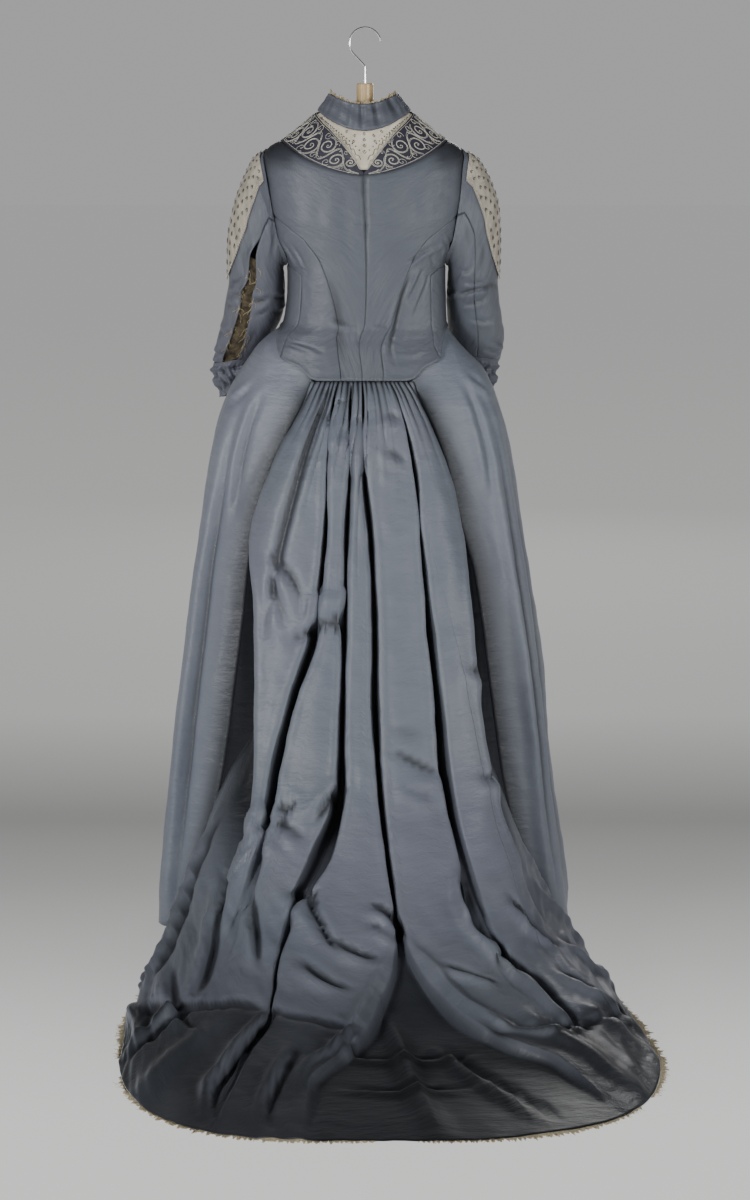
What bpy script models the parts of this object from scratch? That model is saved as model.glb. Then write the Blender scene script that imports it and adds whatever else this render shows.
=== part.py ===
"""A trained silk gown on a wooden hanger, made of its separate sewn pieces.

Metres, +Z up. The origin is where the hook hangs: the inner top of its bend. Seen from behind, +X is
to the right. The train lies towards -Y, the front of the gown is towards +Y, and the floor is at FLOOR.
"""
import math

import bmesh
import bpy
import numpy as np

# Driving sizes
FLOOR = -1.600                # the floor that the train lies on, below the hook
SEAM_INSET = 0.0002           # each piece stops this short of its seam line
BODICE_IN, BODICE_OUT = 0.0004, 0.0019     # inner and outer face of the boned bodice's wall
YOKE_IN, YOKE_OUT = 0.0004, 0.0024
SKIRT_IN, SKIRT_OUT = -0.0013, 0.0
UNDER_BASQUE = -0.0034        # how far the skirt lies in under the back of the bodice
TRAIN_WALL = 0.0013
SLEEVE_WALL = 0.0014
INSET_WALL = 0.0010
COLLAR_WALL = 0.0022
EDGING_WALL = 0.0010
CLEAR = 0.0004                # between one layer of cloth and the next
LAYER_CLEAR = 0.0019          # the same on the sleeves, where the facets of two layers differ

WIRE_RADIUS = 0.0017
HOOK_RADIUS = 0.0270          # of the wire's centre line round the bend
HOOK_TIP_ANGLE = 8.0          # degrees above level at the free end
HOOK_TURN_ANGLE = 232.0       # where the bend runs into the shank
NECK_TOP, NECK_BOTTOM = -0.0931, -0.1280
NECK_RADIUS = 0.0147
ARM_RADIUS = 0.0090
ARM_SEAT = 0.0010             # between the arms and the shoulders that lie on them
HANGER_JOIN = 0.0003          # between the hook, the neck and the arms
NECK_ROUNDING = 0.002         # at the rims of the turned neck
SHANK_TOP = 0.012             # how far below the bend the shank hangs straight
ARM_LINE = [(0.030, -0.0012), (0.056, -0.0065)]    # how the arms leave the neck: reach and drop
SHOULDER_LEVELS = [0.15, 0.5, 1.0, 1.4, 1.7]       # levels of the shoulder line that the arms follow

WAIST_LEVEL = 7.25            # the level of the bodice's lower edge at the sides and front
YOKE_ROW = 1.72               # the row at which the yoke ends
TURN_ROW = 2.60               # from this row on, rows are levels
HIP_ROW = 6.00                # from this row on, rows close up towards the bodice's lower edge
HEM_ROW = 10.15               # the row of the bodice's lower edge
SHOULDER_ROW, UNDERARM_ROW = 2.0, 5.0
ARMHOLE_BACK, ARMHOLE_FRONT = 22.0, 26.0   # widest reach of the armhole, in degrees each way of the side
ARMHOLE_FULLNESS, ARMHOLE_ROUNDING = 0.4, 0.8      # how square the armhole is in the panels and the sleeve
FRONT_SEAM = 128.0            # the angle of the seam between side gore and front breadth

GATHERS = 22                  # small gathers at the train's top
CELLS_PER_GATHER = 3
GATHER_DEPTH = 0.0024


def table(columns, rows):
    """A short table, as one array for each named column."""
    return dict(zip(columns.split(), np.array(rows, dtype=float).T))


# The figure that the gown is cut to, as rings round it: half width, where the ring's middle lies,
# depth to the back and front, the height of its back, side and front, and how square it is.
BODY = table("level half_width middle back front z_back z_side z_front square", [
    (0, 0.0790, -0.0015, 0.058, 0.056, -0.1745, -0.1420, -0.2000, 2.00),
    (1, 0.1280, -0.0010, 0.073, 0.075, -0.2150, -0.1810, -0.2450, 2.10),
    (2, 0.1752, -0.0025, 0.083, 0.090, -0.2620, -0.2190, -0.2900, 2.30),
    (3, 0.1715, +0.0000, 0.088, 0.098, -0.3120, -0.2850, -0.3350, 2.40),
    (4, 0.1600, +0.0010, 0.090, 0.105, -0.3650, -0.3500, -0.3800, 2.40),
    (5, 0.1370, +0.0020, 0.089, 0.106, -0.4050, -0.4050, -0.4050, 2.40),
    (6, 0.1375, +0.0020, 0.085, 0.100, -0.4500, -0.4500, -0.4500, 2.40),
    (7, 0.1425, -0.0005, 0.080, 0.088, -0.5050, -0.5050, -0.5050, 2.40),
    (8, 0.1610, -0.0080, 0.083, 0.091, -0.5270, -0.5270, -0.5270, 2.35),
    (9, 0.1800, -0.0100, 0.088, 0.095, -0.5466, -0.5466, -0.5466, 2.30),
    (10, 0.2175, -0.0050, 0.097, 0.110, -0.5930, -0.5930, -0.5930, 2.30),
    (11, 0.2456, -0.0076, 0.107, 0.125, -0.6515, -0.6515, -0.6515, 2.30),
    (12, 0.2640, -0.0080, 0.114, 0.140, -0.7177, -0.7177, -0.7177, 2.30),
    (13, 0.2880, -0.0080, 0.122, 0.170, -0.8619, -0.8619, -0.8619, 2.30),
    (14, 0.3220, -0.0064, 0.125, 0.210, -1.0924, -1.0924, -1.0924, 2.30),
    (15, 0.3470, -0.0070, 0.120, 0.240, -1.3062, -1.3062, -1.3062, 2.30),
    (16, 0.3750, -0.0030, 0.110, 0.260, -1.5501, -1.5501, -1.5501, 2.30),
    (17, 0.3760, -0.0040, 0.105, 0.265, -1.5970, -1.5970, -1.5970, 2.30),
])
SADDLE = 2.0                  # how sharply a sloping ring rises to the shoulder

# Seams of the bodice: the angle from the centre back at each row.
PRINCESS = table("row angle", [
    (3.5, 66), (3.65, 54), (3.8, 46), (4.05, 37), (5.0, 29.5), (5.9, 22.8), (7.3, 13.6), (10.15, 7.0)])
SIDE_SEAM = table("row angle", [
    (5.0, 77), (5.1, 64), (5.4, 51), (6.5, 51), (7.6, 51), (10.15, 42.5)])
FRONT_SIDE_SEAM = table("row angle", [(5.0, 105), (5.4, 112), (6.0, 116), (10.15, 118)])
# The lower edge of the bodice and the point of the cream insert: the level at each angle.
BODICE_EDGE = table("angle level", [
    (0, 10.15), (17, 10.15), (20, 10.10), (28, 9.75), (42.5, 9.43), (55, 8.6), (70, 7.6), (90, 7.25),
    (180, 7.25)])
INSERT_EDGE = table("angle level", [(0, 1.62), (8.2, 1.06), (21.4, 0.56), (41, 0.25), (90, 0.03)])
YOKE_CENTRE_LEVEL, YOKE_RISE, YOKE_CURVE = 1.72, 0.44, 1.3
YOKE_ANGLES = [0, 8.2, 21.4, 34, 47, 60, 75, 90]    # columns that the yoke and the back panels share

BODICE_ROWS = [1.72, 2.0, 2.3, 2.6, 3.0, 3.3, 3.5, 3.65, 3.8, 4.05, 4.5, 4.85, 5.0, 5.1, 5.4, 5.9, 6.5,
               7.2, 8.0, 9.0, 10.15]
FRONT_ROWS = [0.0, 0.6, 1.2, 1.72, 2.0, 2.4, 3.0, 3.6, 4.2, 4.7, 5.0, 5.1, 5.4, 5.9, 6.5, 7.2, 8.0, 9.0,
              10.15]

# Long soft folds of the side gores and front: how far each stands out at the hem.
SKIRT_FOLDS = table("angle half_width height", [
    (-152, 13, 0.020), (-118, 11, 0.014), (-72, 9, 0.010), (66, 8, 0.009), (112, 12, 0.015), (150, 12, 0.020),
    (180, 9, -0.012), (-180, 9, -0.012)])
FOLD_START, FOLD_END = 9.5, 16.0    # levels between which the folds grow
GORE_TOP_HEIGHTS = [-0.535, -0.560, -0.582]    # rows of the gores above the train's first station
TUCK_BELOW, TUCK_FADE = 1.0, 0.6    # how far below the bodice's edge, in levels, the skirt stays tucked in
TUCK_SIDE_FADE = 0.1

# The train from its gathers to its hem. At each station: the two edges that are sewn to the gores, how
# far it widens beyond them on each side, where its middle runs, how square the curve across is, and how
# far the folds stand out.
TRAIN = table("station left right widen_left widen_right edge_z middle_y middle_z square stand", [
    (0, -0.0916, 0.0813, 0.000, 0.000, -0.6026, -0.0992, -0.6026, 2.3, 0.0010),
    (1, -0.1030, 0.0960, 0.000, 0.000, -0.6320, -0.1080, -0.6300, 2.3, 0.0140),
    (2, -0.1280, 0.1190, 0.000, 0.000, -0.6850, -0.1220, -0.6800, 2.4, 0.0220),
    (3, -0.1600, 0.1430, 0.000, 0.000, -0.7550, -0.1400, -0.7600, 2.5, 0.0290),
    (4, -0.1880, 0.1620, 0.000, 0.000, -0.8400, -0.1620, -0.8800, 2.5, 0.0340),
    (5, -0.2050, 0.1880, 0.004, 0.004, -0.9300, -0.1860, -1.0200, 2.5, 0.0370),
    (6, -0.2160, 0.2050, 0.008, 0.008, -1.0300, -0.2180, -1.1600, 2.5, 0.0400),
    (7, -0.2280, 0.2180, 0.012, 0.014, -1.1300, -0.2640, -1.2900, 2.4, 0.0420),
    (8, -0.2400, 0.2310, 0.020, 0.024, -1.2200, -0.3280, -1.4000, 2.4, 0.0430),
    (9, -0.2520, 0.2430, 0.032, 0.040, -1.3000, -0.4080, -1.4900, 2.4, 0.0430),
    (10, -0.2660, 0.2560, 0.048, 0.062, -1.3700, -0.4980, -1.5520, 2.4, 0.0410),
    (11, -0.2800, 0.2690, 0.066, 0.088, -1.4300, -0.5900, -1.5860, 2.4, 0.0370),
    (12, -0.2930, 0.2850, 0.088, 0.130, -1.4800, -0.6850, -1.5970, 2.5, 0.0320),
    (13, -0.3050, 0.3010, 0.110, 0.174, -1.5200, -0.7900, -1.5980, 2.6, 0.0270),
    (14, -0.3160, 0.3180, 0.134, 0.220, -1.5550, -0.8950, -1.5980, 2.7, 0.0210),
    (15, -0.3260, 0.3330, 0.156, 0.262, -1.5820, -0.9900, -1.5980, 2.8, 0.0130),
    (16, -0.3350, 0.3450, 0.176, 0.300, -1.5983, -1.0800, -1.5985, 2.9, 0.0008),
])
TRAIN_STATIONS = [0, 0.3, 0.7, 1.2, 2, 3, 4, 5, 6, 7, 8, 9, 9.9, 10.8, 11.6, 12.4, 13.2, 14.2, 15.2, 16]
# Valleys between the train's folds. Each keeps to one line of cells; its place across, its depth as a
# share of the folds' height, and its half width in cells, at the top, half way and at the hem.
VALLEYS = table("cell place_top place_middle place_hem depth_top depth_middle depth_hem width", [
    (0, 0.000, 0.000, 0.000, 1.00, 1.00, 1.00, 1.7),
    (9, 0.120, 0.130, 0.140, 0.30, 0.45, 0.45, 1.9),
    (15, 0.185, 0.210, 0.230, 0.55, 0.50, 0.35, 1.6),
    (21, 0.265, 0.315, 0.320, 0.80, 0.80, 0.45, 1.2),
    (27, 0.376, 0.425, 0.415, 0.95, 0.95, 0.75, 1.1),
    (30, 0.425, 0.465, 0.455, 0.40, 0.25, 0.25, 1.0),
    (36, 0.510, 0.545, 0.525, 1.00, 1.00, 1.00, 1.2),
    (45, 0.650, 0.665, 0.640, 0.35, 0.20, 0.45, 1.6),
    (51, 0.800, 0.775, 0.740, 0.70, 0.85, 0.70, 1.1),
    (57, 0.890, 0.865, 0.840, 0.45, 0.60, 0.35, 1.1),
    (61, 0.945, 0.930, 0.915, 0.45, 0.55, 0.30, 1.0),
    (66, 1.000, 1.000, 1.000, 1.00, 1.00, 1.00, 1.4),
])
FOLD_MIDDLE_STATION = 6.0     # the station that "half way" means
LEFT_SEAM_CELL, RIGHT_SEAM_CELL = 27, 51    # where the three breadths are joined
GATHERS_FADE_STATION = 3.5
EDGE_CELLS, EDGE_SHARE = 13, 0.40    # near its two edges the train's folds stand out only by this share
CURVE_POINTS = 721            # points that each curve across the train is worked out at
TRAIN_SAG = 0.9               # how the curves drop from their edges to their middle

# Each sleeve as rings from the armhole to the cuff: the outer and inner end of the ring, half its depth
# from back to front, and how far it swings to the front. Ring 0 lies on the armhole itself.
SLEEVE_COLUMNS = "ring outer_x outer_z inner_x inner_z depth swing"
LEFT_SLEEVE = table(SLEEVE_COLUMNS, [
    (1, -0.1960, -0.2250, -0.1400, -0.4060, 0.050, 0.004),
    (2, -0.2135, -0.2620, -0.1430, -0.4080, 0.053, 0.006),
    (3, -0.2295, -0.3100, -0.1440, -0.4120, 0.053, 0.010),
    (4, -0.2395, -0.3680, -0.1430, -0.4220, 0.051, 0.015),
    (5, -0.2408, -0.4256, -0.1420, -0.4420, 0.050, 0.022),
    (6, -0.2450, -0.4555, -0.1430, -0.4700, 0.049, 0.032),
    (7, -0.2540, -0.5031, -0.1500, -0.5030, 0.048, 0.046),
    (8, -0.2651, -0.5439, -0.1660, -0.5340, 0.046, 0.064),
    (9, -0.2726, -0.5812, -0.1820, -0.5640, 0.043, 0.085),
    (10, -0.2764, -0.5990, -0.1910, -0.5850, 0.041, 0.095),
    (11, -0.2720, -0.6200, -0.1960, -0.6060, 0.040, 0.101),
    (12, -0.2620, -0.6480, -0.2050, -0.6320, 0.036, 0.107),
])
RIGHT_SLEEVE = table(SLEEVE_COLUMNS, [
    (1, 0.1990, -0.2260, 0.1435, -0.4070, 0.050, 0.004),
    (2, 0.2185, -0.2620, 0.1450, -0.4080, 0.053, 0.006),
    (3, 0.2330, -0.3100, 0.1460, -0.4120, 0.053, 0.010),
    (4, 0.2358, -0.3680, 0.1455, -0.4220, 0.051, 0.015),
    (5, 0.2345, -0.4256, 0.1450, -0.4420, 0.050, 0.024),
    (6, 0.2355, -0.4555, 0.1450, -0.4700, 0.049, 0.037),
    (7, 0.2435, -0.5031, 0.1460, -0.5030, 0.048, 0.055),
    (8, 0.2482, -0.5400, 0.1490, -0.5310, 0.046, 0.077),
    (9, 0.2440, -0.5760, 0.1520, -0.5610, 0.043, 0.100),
    (10, 0.2385, -0.5950, 0.1530, -0.5820, 0.041, 0.113),
    (11, 0.2365, -0.6160, 0.1605, -0.6030, 0.040, 0.119),
    (12, 0.2320, -0.6400, 0.1750, -0.6290, 0.036, 0.124),
])
SLEEVE_FRONT_SEAM = -100.0    # degrees round the sleeve; 0 is its outer line and 90 its back
RIGHT_BACK_SEAM = 88.0
# The left sleeve's back seam hangs open: the outer and inner lip of the opening at each ring.
OPEN_SEAM = table("ring outer_lip inner_lip", [
    (0, 94, 94), (2.6, 94, 94), (4, 80, 91), (5, 74, 91), (6, 64, 85), (7, 64, 87), (8, 61, 92),
    (9.2, 55, 93)])
SLEEVE_RINGS = [0, 0.35, 1, 2, 3, 4, 5, 6, 7, 8, 9.2]
CUFF_RINGS = [9.2, 10.1, 11.1, 12]
CUFF_COLUMNS, CUFF_RIPPLE, CUFF_CRUSH = 24, 0.0022, 0.0030
# The cream inset on the outer arm: its edge each way of the sleeve's outer line.
INSET_EDGE = table("ring back front", [
    (0.35, 52, -60), (1, 58, -62), (2, 62, -64), (3, 63, -62), (4, 52, -50), (4.6, 34, -30), (5.2, 5, -3)])
LINING_RINGS = [4, 5, 6, 7, 8, 9.2]
LINING_REACH = 20.0           # degrees that the lining goes on behind each lip

COLLAR_TOP = {"half_width": 0.0585, "middle": -0.0030, "back": 0.048, "front": 0.046,
              "z_back": -0.1287, "z_side": -0.1100, "z_front": -0.1560}
COLLAR_CREASES, COLLAR_CREASE_DEPTH = 13, 0.0020
COLLAR_COLUMNS, COLLAR_RISES = 52, [0.0, 0.45, 1.0]
EDGING_RISE, EDGING_RAG, EDGING_TUCK = 0.0030, 0.0024, 0.0060
# Stretches of frayed lace beyond the train's hem: first and last cell, and how far it shows.
LACE_STRETCHES = {"left": (6, 17, 0.013), "middle_left": (19, 33, 0.011), "middle_right": (35, 46, 0.012),
                  "right": (47, 58, 0.013)}

COLOURS = {"silk": ((0.118, 0.135, 0.160), 0.38, 0.0), "dark_silk": ((0.060, 0.062, 0.085), 0.40, 0.0),
           "cream": ((0.560, 0.520, 0.420), 0.55, 0.0), "lining": ((0.085, 0.065, 0.030), 0.80, 0.0),
           "lace": ((0.500, 0.430, 0.260), 0.85, 0.0), "wood": ((0.640, 0.440, 0.190), 0.45, 0.0),
           "chrome": ((0.620, 0.630, 0.640), 0.15, 1.0)}


# Curves and grids
def smooth(keys, values, at):
    """A cubic through the values that never swings beyond two neighbours, read at any place."""
    at = np.clip(np.asarray(at, dtype=float), keys[0], keys[-1])
    steps = np.diff(keys)
    rises = np.diff(values) / steps
    before, after = rises[:-1], rises[1:]
    level = before * after <= 0
    mean = 2 * before * after / np.where(level, 1.0, before + after)
    slopes = np.concatenate([rises[:1], np.where(level, 0.0, mean), rises[-1:]])
    cell = np.clip(np.searchsorted(keys, at, side="right") - 1, 0, len(keys) - 2)
    part = (at - keys[cell]) / steps[cell]
    start, end = values[cell], values[cell + 1]
    lift = part * part * (3 - 2 * part)
    lean = part * (1 - part) * steps[cell]
    return start + (end - start) * lift + lean * (slopes[cell] * (1 - part) - slopes[cell + 1] * part)


def power(value, exponent):
    """A power that keeps the value's sign."""
    return np.sign(value) * np.abs(value) ** exponent


def unit(vectors):
    return vectors / np.maximum(np.linalg.norm(vectors, axis=-1, keepdims=True), 1e-12)


def ramp(value, start, end):
    """From 0 at the start to 1 at the end, with soft ends."""
    part = np.clip((value - start) / (end - start), 0.0, 1.0)
    return part * part * (3 - 2 * part)


def drawn_in(grid, ring=False):
    """The grid with its borders moved in a little, so that neighbours stay apart at the seam."""
    grid = grid.copy()
    grid[0] += unit(grid[1] - grid[0]) * SEAM_INSET
    grid[-1] += unit(grid[-2] - grid[-1]) * SEAM_INSET
    if not ring:
        grid[:, 0] += unit(grid[:, 1] - grid[:, 0]) * SEAM_INSET
        grid[:, -1] += unit(grid[:, -2] - grid[:, -1]) * SEAM_INSET
    return grid


# The scene's objects
def clear_scene():
    for item in list(bpy.data.objects):
        bpy.data.objects.remove(item, do_unlink=True)


def make_material(name):
    colour, roughness, metallic = COLOURS[name]
    material = bpy.data.materials.get(name)
    if material is None:
        material = bpy.data.materials.new(name)
        material.use_nodes = True
        shader = material.node_tree.nodes["Principled BSDF"]
        shader.inputs["Base Color"].default_value = (*colour, 1.0)
        shader.inputs["Roughness"].default_value = roughness
        shader.inputs["Metallic"].default_value = metallic
    return material


def add_object(name, data, material_name):
    item = bpy.data.objects.new(name, data)
    data.materials.append(make_material(material_name))
    gown.objects.link(item)
    return item


def add_wall(name, outer, inner, material_name, ring=False):
    """A closed wall between two grids of points. A ring joins its last column to its first.

    Both faces split their squares along the same diagonal, so they can't meet where the cloth twists.
    """
    rows, columns = outer.shape[:2]
    layer = rows * columns
    spans = columns if ring else columns - 1
    triangles = []

    def corner(side, row, column):
        return side * layer + row * columns + column % columns

    def square(a, b, c, d):
        triangles.append((a, b, c))
        triangles.append((a, c, d))

    for row in range(rows - 1):
        for column in range(spans):
            square(corner(0, row, column), corner(0, row + 1, column),
                   corner(0, row + 1, column + 1), corner(0, row, column + 1))
            square(corner(1, row, column), corner(1, row, column + 1),
                   corner(1, row + 1, column + 1), corner(1, row + 1, column))
    for row, turn in ((0, 0), (rows - 1, 1)):
        for column in range(spans):
            near, far = column + turn, column + 1 - turn
            square(corner(0, row, near), corner(0, row, far), corner(1, row, far), corner(1, row, near))
    if not ring:
        for column, turn in ((0, 1), (columns - 1, 0)):
            for row in range(rows - 1):
                near, far = row + turn, row + 1 - turn
                square(corner(0, near, column), corner(0, far, column),
                       corner(1, far, column), corner(1, near, column))
    mesh = bpy.data.meshes.new(name)
    points = np.concatenate([outer.reshape(-1, 3), inner.reshape(-1, 3)])
    mesh.from_pydata(points.tolist(), [], triangles)
    shell = bmesh.new()
    shell.from_mesh(mesh)
    bmesh.ops.recalc_face_normals(shell, faces=shell.faces)
    shell.to_mesh(mesh)
    shell.free()
    mesh.shade_smooth()
    mesh.set_sharp_from_angle(angle=math.radians(40))
    return add_object(name, mesh, material_name)


# The figure
def body_column(name, level):
    return smooth(BODY["level"], BODY[name], level)


def body_plain(angle, level):
    """A point on the ring of that level: angle 0 at the centre back, 90 at the right side, 180 in front."""
    turn = np.radians(angle)
    sharp = 2.0 / body_column("square", level)
    side = power(np.sin(turn), sharp)
    away = power(np.cos(turn), sharp)
    depth = np.where(away > 0, body_column("back", level), body_column("front", level))
    x = body_column("middle", level) + body_column("half_width", level) * side
    end_z = np.where(away > 0, body_column("z_back", level), body_column("z_front", level))
    z = end_z + (body_column("z_side", level) - end_z) * np.abs(side) ** SADDLE
    return np.stack(np.broadcast_arrays(x, -depth * away, z), axis=-1)


def body(angle, level, out=0.0):
    """A point of the figure, moved out along the surface's normal."""
    turn, climb = 0.2, 0.02
    across = body_plain(angle + turn, level) - body_plain(angle - turn, level)
    down = body_plain(angle, level + climb) - body_plain(angle, level - climb)
    normal = unit(np.cross(down, across))
    return body_plain(angle, level) + normal * np.asarray(out)[..., None]


def bodice_edge(angle):
    return smooth(BODICE_EDGE["angle"], BODICE_EDGE["level"], np.abs(angle))


def yoke_edge(angle):
    side = np.abs(np.sin(np.radians(np.minimum(np.abs(angle), 90.0))))
    return YOKE_CENTRE_LEVEL - YOKE_RISE * side ** YOKE_CURVE


def bodice_level(angle, row):
    """Rows follow the yoke's edge at the top and the bodice's lower edge at the bottom."""
    top = yoke_edge(angle)
    bottom = bodice_edge(angle)
    above = top * row / YOKE_ROW
    upper = top + (TURN_ROW - top) * (row - YOKE_ROW) / (TURN_ROW - YOKE_ROW)
    lower = HIP_ROW + (bottom - HIP_ROW) * (row - HIP_ROW) / (HEM_ROW - HIP_ROW)
    below = np.where(row < HIP_ROW, row, lower)
    return np.where(row < YOKE_ROW, above, np.where(row < TURN_ROW, upper, below))


def armhole_reach(row, widest):
    middle = (SHOULDER_ROW + UNDERARM_ROW) / 2
    half = (UNDERARM_ROW - SHOULDER_ROW) / 2
    return widest * np.clip(1 - ((row - middle) / half) ** 2, 0.0, 1.0) ** ARMHOLE_FULLNESS


def seam(data, row):
    return smooth(data["row"], data["angle"], row)


def back_outer_edge(row):
    return np.where(row < PRINCESS["row"][0], 90 - armhole_reach(row, ARMHOLE_BACK), seam(PRINCESS, row))


def side_back_outer_edge(row):
    return np.where(row < SIDE_SEAM["row"][0], 90 - armhole_reach(row, ARMHOLE_BACK), seam(SIDE_SEAM, row))


def front_outer_edge(row):
    return np.where(row < UNDERARM_ROW, 90 + armhole_reach(row, ARMHOLE_FRONT), seam(FRONT_SIDE_SEAM, row))


def body_panel(name, side, rows, shares, first_edge, last_edge, material_name="silk"):
    """A panel of the bodice between two seams, each an angle worked out from the row."""
    row = np.array(rows)[:, None]
    share = np.array(shares)[None, :]
    angle = first_edge(row) + (last_edge(row) - first_edge(row)) * share
    level = bodice_level(angle, row + 0 * share)
    outer = drawn_in(body(side * angle, level, BODICE_OUT))
    inner = drawn_in(body(side * angle, level, BODICE_IN))
    return add_wall(name, outer, inner, material_name)


def yoke_panel(name, angles, top, bottom, rows, material_name):
    """A piece of the yoke between two edges, each a level worked out from the angle."""
    angle = np.array(angles)[None, :]
    share = np.linspace(0.0, 1.0, rows + 1)[:, None]
    level = top(angle) + (bottom(angle) - top(angle)) * share
    angle = angle + 0 * share
    return add_wall(name, drawn_in(body(angle, level, YOKE_OUT)), drawn_in(body(angle, level, YOKE_IN)),
                    material_name)


def insert_edge(angle):
    return smooth(INSERT_EDGE["angle"], INSERT_EDGE["level"], np.abs(angle))


def make_bodice():
    after_princess = [row for row in BODICE_ROWS if row >= PRINCESS["row"][0]]
    below_arm = [row for row in BODICE_ROWS if row >= UNDERARM_ROW]
    for word, side in (("left", -1), ("right", 1)):
        body_panel("back_" + word, side, BODICE_ROWS, np.array(YOKE_ANGLES) / 90, lambda row: 0 * row,
                   back_outer_edge)
        body_panel("side_back_" + word, side, after_princess, np.linspace(0, 1, 5),
                   lambda row: seam(PRINCESS, row), side_back_outer_edge)
        body_panel("underarm_" + word, side, below_arm, np.linspace(0, 1, 6),
                   lambda row: seam(SIDE_SEAM, row), lambda row: seam(FRONT_SIDE_SEAM, row))
        body_panel("front_" + word, side, FRONT_ROWS, np.linspace(0, 1, 6), front_outer_edge,
                   lambda row: 180 + 0 * row)
        yoke_panel("yoke_band_" + word, side * np.array(YOKE_ANGLES), insert_edge, yoke_edge, 4, "dark_silk")
    reach = np.array(YOKE_ANGLES[:-1])
    yoke_panel("yoke_insert", np.concatenate([-reach[:0:-1], reach]), lambda angle: 0 * angle, insert_edge, 3,
               "cream")


# The collar
def collar_point(angle, rise, out):
    """The stand collar from its seam at rise 0 to its top edge at rise 1, crushed into upright creases."""
    turn = np.radians(angle)
    base = body(angle, 0 * angle, BODICE_OUT + CLEAR + COLLAR_WALL / 2)
    depth = np.where(np.cos(turn) > 0, COLLAR_TOP["back"], COLLAR_TOP["front"])
    end_z = np.where(np.cos(turn) > 0, COLLAR_TOP["z_back"], COLLAR_TOP["z_front"])
    side = np.sin(turn)
    z = end_z + (COLLAR_TOP["z_side"] - end_z) * side ** 2
    x = COLLAR_TOP["middle"] + COLLAR_TOP["half_width"] * side
    top = np.stack([x, -depth * np.cos(turn), z], axis=-1)
    point = base + (top - base) * rise[..., None]
    outward = unit(np.stack([side / COLLAR_TOP["half_width"], -np.cos(turn) / depth, 0 * side], axis=-1))
    wave = np.sin(COLLAR_CREASES * turn + 1.2 * np.sin(3 * turn)) * (0.55 + 0.45 * np.sin(2 * turn + 0.6))
    crease = COLLAR_CREASE_DEPTH * wave * np.sin(math.pi * np.clip(rise, 0.0, 1.0) * 0.62)
    return point + outward * (out + crease)[..., None]


def make_collar():
    angle = np.linspace(-180.0, 180.0, COLLAR_COLUMNS, endpoint=False)[None, :]
    rise = np.array(COLLAR_RISES)[:, None]
    angle, rise = np.broadcast_arrays(angle, rise)
    half = COLLAR_WALL / 2
    add_wall("collar", collar_point(angle, rise, half), collar_point(angle, rise, -half), "silk", ring=True)
    angle = angle[:1]
    turn = np.radians(angle)
    rag = EDGING_RISE + EDGING_RAG * (np.sin(11 * turn) * np.sin(4 * turn + 1) + 0.5 * np.sin(23 * turn))
    height = np.concatenate([0 * rag - EDGING_TUCK, rag])
    angle, rise = np.broadcast_arrays(angle, 1.0 + 0 * height)
    lift = np.stack([0 * height, 0 * height, height], axis=-1)
    outside = -half - CLEAR
    add_wall("collar_edging", collar_point(angle, rise, 0 * angle + outside) + lift,
             collar_point(angle, rise, 0 * angle + outside - EDGING_WALL) + lift, "lace", ring=True)


# The skirt
SKIRT_LEVELS = np.linspace(7.0, 17.0, 2001)
SKIRT_HEIGHTS = body_column("z_side", SKIRT_LEVELS)


def level_at(z):
    """The level of the skirt's ring at a height."""
    return np.interp(-np.asarray(z), -SKIRT_HEIGHTS, SKIRT_LEVELS)


def angle_at(x, level):
    """The angle at which the back of a ring has that x."""
    reach = (np.asarray(x) - body_column("middle", level)) / body_column("half_width", level)
    side = np.clip(np.abs(reach), 0.0, 1.0) ** (body_column("square", level) / 2)
    return np.degrees(np.arcsin(side)) * np.sign(reach)


def skirt(angle, level, out):
    """The skirt's surface: the figure with long soft folds, tucked in under the back of the bodice."""
    grown = ramp(level, FOLD_START, FOLD_END)
    fold = 0.0 * angle
    for place, half_width, height in zip(*(SKIRT_FOLDS[name] for name in ("angle", "half_width", "height"))):
        fold = fold + height * np.exp(-((angle - place) / half_width) ** 2)
    edge = bodice_edge(angle)
    tuck = np.clip((edge + TUCK_BELOW - level) / TUCK_FADE, 0.0, 1.0)
    tuck = tuck * np.clip((edge - WAIST_LEVEL) / TUCK_SIDE_FADE, 0.0, 1.0)
    return body(angle, level, out + fold * grown + UNDER_BASQUE * tuck)


def train_edge_heights():
    return smooth(TRAIN["station"], TRAIN["edge_z"], np.array(TRAIN_STATIONS))


def make_skirt():
    top = float(body_column("z_side", WAIST_LEVEL)) - CLEAR
    heights = np.concatenate([[top, *GORE_TOP_HEIGHTS], train_edge_heights()])
    stations = np.interp(-heights, -train_edge_heights(), TRAIN_STATIONS)
    level = level_at(heights)[:, None]
    for word, side, column in (("left", -1, "left"), ("right", 1, "right")):
        back_edge = angle_at(smooth(TRAIN["station"], TRAIN[column], stations), level[:, 0])[:, None]
        share = np.linspace(0.0, 1.0, 8)[None, :]
        angle = back_edge + (side * FRONT_SEAM - back_edge) * share
        grid_level = level + 0 * share
        add_wall("side_gore_" + word, drawn_in(skirt(angle, grid_level, SKIRT_OUT)),
                 drawn_in(skirt(angle, grid_level, SKIRT_IN)), "silk")
    angle = np.linspace(FRONT_SEAM, 360 - FRONT_SEAM, 9)[None, :]
    angle = np.where(angle > 180, angle - 360, angle)
    angle, grid_level = np.broadcast_arrays(angle, level)
    add_wall("front_breadth", drawn_in(skirt(angle, grid_level, SKIRT_OUT)),
             drawn_in(skirt(angle, grid_level, SKIRT_IN)), "silk")


# The train
def station_value(column, station):
    return smooth(TRAIN["station"], TRAIN[column], station)


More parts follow.
